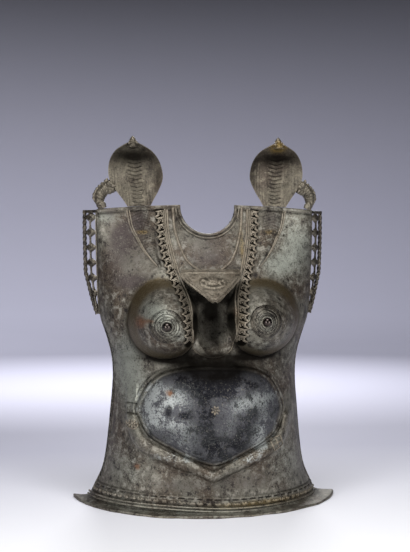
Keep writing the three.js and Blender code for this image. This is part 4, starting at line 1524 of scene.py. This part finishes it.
@dataclass(frozen=True)
class BracketBeast:
    """Small rampant beast that braces a hood from the shoulder."""

    hand: Hand
    limbs: tuple[tuple[tuple[float, ...], ...], ...] = (
        ((199.5, -12, 564.4, 7.0), (203.5, -13, 578, 8.7), (201, -16, 592, 11.2), (192, -21, 602, 11.2),
         (184, -26, 606, 9)),
        ((196, -20, 598, 7.4), (186, -26, 597, 6.6), (175, -33, 601, 5.6)),
        ((205, -14, 578, 8.0), (198, -20, 571, 6.0), (195, -19, 565.6, 5.4)),
        ((205, -13, 576, 4.5), (213, -11, 582, 3.6), (213.5, -10, 592, 2.8), (209, -10, 598, 2.0)))
    head: tuple[float, float, float] = (184.0, -31.0, 610.0)
    curls: int = 7

    def build(self, shop: Workshop) -> None:
        """Make the beast.

        Args:
            shop: Where the pieces are finished.
        """
        side = self.hand.value
        parts = []
        for rows in self.limbs:
            line = smooth_path([(side * x, y, z, r) for x, y, z, r in rows], 40, dims=3)
            parts.append(tube(line[:, :3], line[:, 3], 18, rope=0.55, lay=6.5))
        x, y, z = self.head
        parts.append(ball((side * x, y, z), (8.5, 10, 8), sides=20))
        parts.append(ball((side * (x - 3), y + 3, z - 7), (9.5, 7.0, 8.5), sides=20))
        parts.append(ball((side * (x - 5), y - 6, z - 4), (5.2, 6.0, 4.4), sides=16))
        parts.append(ball((side * (x - 9), y - 7, z - 4), (2.2, 4.2, 2.2), sides=10))
        for off in (-1, 1):
            parts.append(ball((side * (x - 2 + off * 3.8), y - 8.5, z + 2.6), (2.0, 2.0, 2.0), sides=12))
            parts.append(ball((side * (x + 2 + off * 4.5), y - 2, z + 7.4), (2.6, 2.0, 3.4), sides=12))
        for i in range(self.curls):
            t = i / (self.curls - 1)
            spot = (side * (190 + 21.5 * math.sin(0.1 + t * 1.75)), -22 + 9 * t, 615 - 29 * t)
            parts.append(ball(spot, (4.0, 4.6, 4.0), sides=12))
            inner = (side * (191 + 11 * math.sin(0.1 + t * 1.7)), -31 + 8 * t, 608 - 20 * t)
            parts.append(ball(inner, (2.6, 2.6, 2.6), sides=10))
        name = self.hand.name.lower()
        shop.piece(joined(parts), f"bracket_beast_{name}_figure", Slot.HOOD, [f"bracket_beast_{name}"])


@dataclass(frozen=True)
class ArmholeLattice:
    """Strip of diamonds between a plain inner rail and a roped outer rail, turned back at the armhole."""

    plate: Plate
    hand: Hand
    low: float = 362.0
    knee: float = 442.0
    high: float = 560.0
    width: float = 34.0
    low_width: float = 7.0
    turn: float = math.radians(41)
    clear: float = 0.5
    first: float = 548.0
    pitch: float = 29.0
    count: int = 7

    def spot(self, out: Array, z: Array, lift: Array | float) -> Array:
        """Place on the strip.

        Args:
            out: Share of its width, from the shell outward.
            z: Height.
            lift: How far off its middle.

        Returns:
            Points in space.
        """
        share = (np.minimum(z, self.knee) - self.low) / (self.knee - self.low)
        span = self.low_width + share * (self.width - self.low_width)
        reach = out * np.maximum(span, 3.0) + self.clear
        edge = self.plate.levels.read("edge", z) + self.plate.edge_flat
        x = self.plate.levels.read("half", z) + reach * math.cos(self.turn) + lift * math.sin(self.turn)
        y = edge + reach * math.sin(self.turn) - lift * math.cos(self.turn)
        return np.stack([self.hand.value * x, y, z], axis=-1)

    def build(self, shop: Workshop) -> None:
        """Make the lattice.

        Args:
            shop: Where the pieces are finished.
        """
        z = np.linspace(self.low, self.high + 2, 230)
        parts = [tube(self.spot(np.full_like(z, 0.9), z, 0.0), 3.7, 14, rope=0.55, lay=10.0),
                 tube(self.spot(np.full_like(z, 0.05), z, 0.0), 1.8, 8)]
        across = np.linspace(0.0, 0.95, 14)
        top = self.spot(across, np.full_like(across, self.high - 1), 0.0)
        parts.append(tube(top, 3.0, 12, square=0.6, front=(0, 0, 1)))
        for i in range(self.count):
            level = self.first - i * self.pitch
            bm = bmesh.new()
            bmesh.ops.create_cone(bm, cap_ends=True, segments=4, radius1=1.0, radius2=0.45, depth=1.0)
            bmesh.ops.bevel(bm, geom=bm.edges, offset=0.08, segments=2, profile=0.5, affect="EDGES", material=-1)
            tall = 10.5 if i else 11.5

            def lay(spots: Array, level: float = level, tall: float = tall) -> Array:
                """Place one diamond on the strip."""
                return self.spot(0.48 + 0.5 * spots[:, 0], level + tall * spots[:, 1], 1.0 + 5.0 * spots[:, 2])

            parts.append(move(bm, lay))
            if i < self.count - 1:
                z = np.linspace(level - self.pitch, level, 16)
                waisted = 2.5 + 0.6 * np.cos(np.linspace(0, 2 * math.pi, 16))
                parts.append(tube(self.spot(np.full_like(z, 0.48), z, 0.3), waisted, 8))
        whole = joined(parts)
        bmesh.ops.recalc_face_normals(whole, faces=whole.faces)
        name = self.hand.name.lower()
        shop.piece(whole, f"armhole_lattice_{name}_diamonds", Slot.DARK, [f"armhole_lattice_{name}"], 35)


@dataclass(frozen=True)
class Studio:
    """Pale floor swept up into a backdrop, soft lights and the camera at the photograph's place."""

    shift: Array
    turn: float = math.radians(7)
    distance: float = 2050.0
    eye: float = 485.0
    focal_px: float = 1058.0
    frame_px: tuple[int, int] = (410, 552)
    horizon_px: float = 250.0
    sensor: float = 36.0
    cove_start: float = 3000.0
    cove_radius: float = 700.0
    wall_height: float = 4200.0
    turnover: tuple[float, float] = (0.2, 1.0)
    # Painted light and shade of the paper along its run: white in front, darker with distance and up the wall
    painted_light_tones: tuple[tuple[float, str], ...] = (
        (-400, "#f4f4f6"), (600, "#c0c0d0"), (3600, "#a0a0b0"), (5600, "#303038"))

    def paper(self) -> bpy.types.Material:
        """Seamless paper, matt, whose colour holds painted light and shade: white on the floor in front, greying with
        distance, and a greyed lilac that darkens up the wall.
        """
        made = bpy.data.materials.new("studio_paper")
        made.use_nodes = True
        tree = made.node_tree
        tree.nodes.clear()
        place = add_node(tree, "ShaderNodeTexCoord").outputs["Object"]
        axes = add_node(tree, "ShaderNodeSeparateXYZ", {0: place})
        level = add_node(tree, "ShaderNodeVectorMath", {0: place, 1: (1, 1, 0)}, operation="MULTIPLY").outputs[0]
        away = add_node(tree, "ShaderNodeVectorMath", {0: level}, operation="LENGTH").outputs["Value"]
        near, far = (share * self.cove_start * MM for share in self.turnover)
        inputs = {"Value": away, "From Min": near, "From Max": far}
        outer = add_node(tree, "ShaderNodeMapRange", inputs, interpolation_type="SMOOTHSTEP").outputs[0]
        flat = add_node(tree, "ShaderNodeMix", {0: outer, 2: axes.outputs["Y"], 3: away}).outputs[0]
        run = add_node(tree, "ShaderNodeMath", {0: flat, 1: axes.outputs["Z"]}, operation="ADD").outputs[0]
        start, end = self.painted_light_tones[0][0] * MM, self.painted_light_tones[-1][0] * MM
        level = add_node(tree, "ShaderNodeMapRange", {"Value": run, "From Min": start, "From Max": end}).outputs[0]
        ramp = add_node(tree, "ShaderNodeValToRGB", {0: level})
        stops = [((at * MM - start) / (end - start), colour) for at, colour in self.painted_light_tones]
        while len(ramp.color_ramp.elements) < len(stops):
            ramp.color_ramp.elements.new(1.0)
        for element, (at, colour) in zip(ramp.color_ramp.elements, stops):
            element.position = at
            element.color = linear(colour)
        grain = add_node(tree, "ShaderNodeTexNoise", {"Vector": place, "Scale": 1 / (2.0 * MM), "Detail": 2.0})
        inputs = {"Height": grain.outputs["Fac"], "Strength": 0.1, "Distance": 0.05 * MM}
        bump = add_node(tree, "ShaderNodeBump", inputs)
        shader = add_node(tree, "ShaderNodeBsdfPrincipled", {
            "Base Color": ramp.outputs[0], "Roughness": 0.75, "Normal": bump.outputs[0]})
        add_node(tree, "ShaderNodeOutputMaterial", {"Surface": shader.outputs[0]})
        return made

    def sweep(self) -> None:
        """Make the floor and the wall as one round sweep, so that every side has a backdrop."""
        turn = np.linspace(0, math.pi / 2, 24)
        bend = np.column_stack([self.cove_start + self.cove_radius * np.sin(turn),
                                self.cove_radius * (1 - np.cos(turn))])
        wall = [self.cove_start + self.cove_radius, self.wall_height]
        bm = faced(lathe([(0.0, 0.0), (600.0, 0.0), *bend, wall], 96), (0, 0, 1))
        bmesh.ops.scale(bm, verts=bm.verts, vec=(MM, MM, MM))
        mesh = bpy.data.meshes.new("studio_sweep")
        bm.to_mesh(mesh)
        bm.free()
        mesh.shade_smooth()
        mesh.materials.append(self.paper())
        floor = bpy.data.objects.new("studio_sweep", mesh)
        bpy.context.collection.objects.link(floor)

    def lamp(self, name: str, spot: Sequence[float], aim: Sequence[float], size: tuple[float, float],
             watts: float) -> None:
        """Add a softbox.

        Args:
            name: Its name.
            spot: Its place, in metres.
            aim: Where it points.
            size: Its width and height.
            watts: Its power.
        """
        light = bpy.data.lights.new(name, "AREA")
        light.shape = "RECTANGLE"
        light.size, light.size_y = size
        light.energy = watts
        lamp = bpy.data.objects.new(name, light)
        lamp.location = spot
        lamp.rotation_euler = (Vector(aim) - Vector(spot)).to_track_quat("-Z", "Y").to_euler()
        bpy.context.collection.objects.link(lamp)

    def build(self) -> None:
        """Make the studio."""
        self.sweep()
        self.lamp("left_softbox", (-1.6, -1.65, 0.68), (0, 0, 0.2), (0.8, 1.1), 33)
        self.lamp("right_softbox", (1.25, -1.95, 0.68), (0, 0, 0.2), (0.8, 1.1), 32)
        self.lamp("top_softbox", (-0.15, -0.8, 2.2), (0, 0, 0.2), (1.3, 0.8), 35)
        self.lamp("wall_softbox", (-0.4, 1.5, 1.3), (-0.4, 3.7, 0.2), (2.6, 0.5), 56)
        self.lamp("back_softbox", (0.4, 2.3, 1.6), (0, 0, 0.35), (1.0, 0.8), 32)
        world = bpy.data.worlds.new("studio_air")
        world.use_nodes = True
        world.node_tree.nodes["Background"].inputs[0].default_value = linear("#8c8c96")
        world.node_tree.nodes["Background"].inputs[1].default_value = 0.12
        bpy.context.scene.world = world
        bpy.context.scene.view_settings.view_transform = "Standard"
        bpy.context.scene.view_settings.look = "None"
        camera = bpy.data.cameras.new("camera")
        camera.lens = self.focal_px / self.frame_px[1] * self.sensor
        camera.sensor_width = self.sensor
        camera.sensor_fit = "AUTO"
        camera.shift_y = (self.horizon_px - self.frame_px[1] / 2) / self.frame_px[1]
        camera.clip_end = 50
        eye = bpy.data.objects.new("camera", camera)
        spot = np.array([-self.distance * math.sin(self.turn), -self.distance * math.cos(self.turn), self.eye])
        eye.location = (spot + self.shift) * MM
        eye.rotation_euler = (math.pi / 2, 0, -self.turn)
        bpy.context.collection.objects.link(eye)
        bpy.context.scene.camera = eye


def main() -> None:
    """Build every sub-assembly in order, each piece logging its faces as it is made."""
    logging.basicConfig(level=logging.INFO, format="%(name)s %(message)s")
    plate = Plate()
    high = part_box("torso_plate")[1]
    skin = TorsoSkin(plate)
    foot = FootFlange(plate, skin)
    shift = np.array([high.x / MM - foot.right_half, high.y / MM - foot.left_edge - plate.edge_flat, 0.0])
    finishes = {
        # Old casting: clouds of grey-green over brown, pitted and satin
        Slot.PLATE: CastBronze("patinated_cast_bronze", "#4b4136", "#67645a", "#827e74", "#2a2521"),
        # Raised work that cloth and hands have rubbed: paler, with bright edges
        Slot.PALE: CastBronze("rubbed_cast_bronze", "#63594c", "#736c5f", "#8b8274", "#3f382f",
                              wear=0.9, contrast=0.8),
        # Hoods and beasts: even warm brown, less mottled
        Slot.HOOD: CastBronze("brown_cast_bronze", "#4d443a", "#5e584c", "#7b7464", "#2c2721",
                              wear=0.8, contrast=0.6),
        # Lattices and rings: near black, with a low gloss
        Slot.DARK: CastBronze("dark_cast_bronze", "#302a23", "#3c3831", "#524c42", "#1c1916",
                              roughness=0.3, wear=0.3),
    }
    finishes = {slot: finish.build() for slot, finish in finishes.items()}
    # Knobs polished by touch: dark, with small sharp highlights
    handled = CastBronze("handled_cast_bronze", "#211b16", "#28221c", "#3a332b", "#15110e",
                         roughness=0.22, metallic=0.95, wear=0.1, contrast=0.4, relief_mm=0.25).build()
    shop = Workshop(shift, Patina(plate, shift), finishes, handled)
    Studio(shift).build()
    parts = [skin, ChestRibs(plate, skin), foot, SashOrnament(plate), PendantShield(plate)]
    for hand, middle, lean in ((Hand.LEFT, 130.0, 13.0), (Hand.RIGHT, 131.0, 2.0)):
        parts += [ScrollBand(plate, hand), NippleBoss(plate, hand), CobraHood(plate, hand, middle, lean),
                  BracketBeast(hand), ArmholeLattice(plate, hand)]
    for part in parts:
        part.build(shop)


if __name__ == "__main__":
    main()
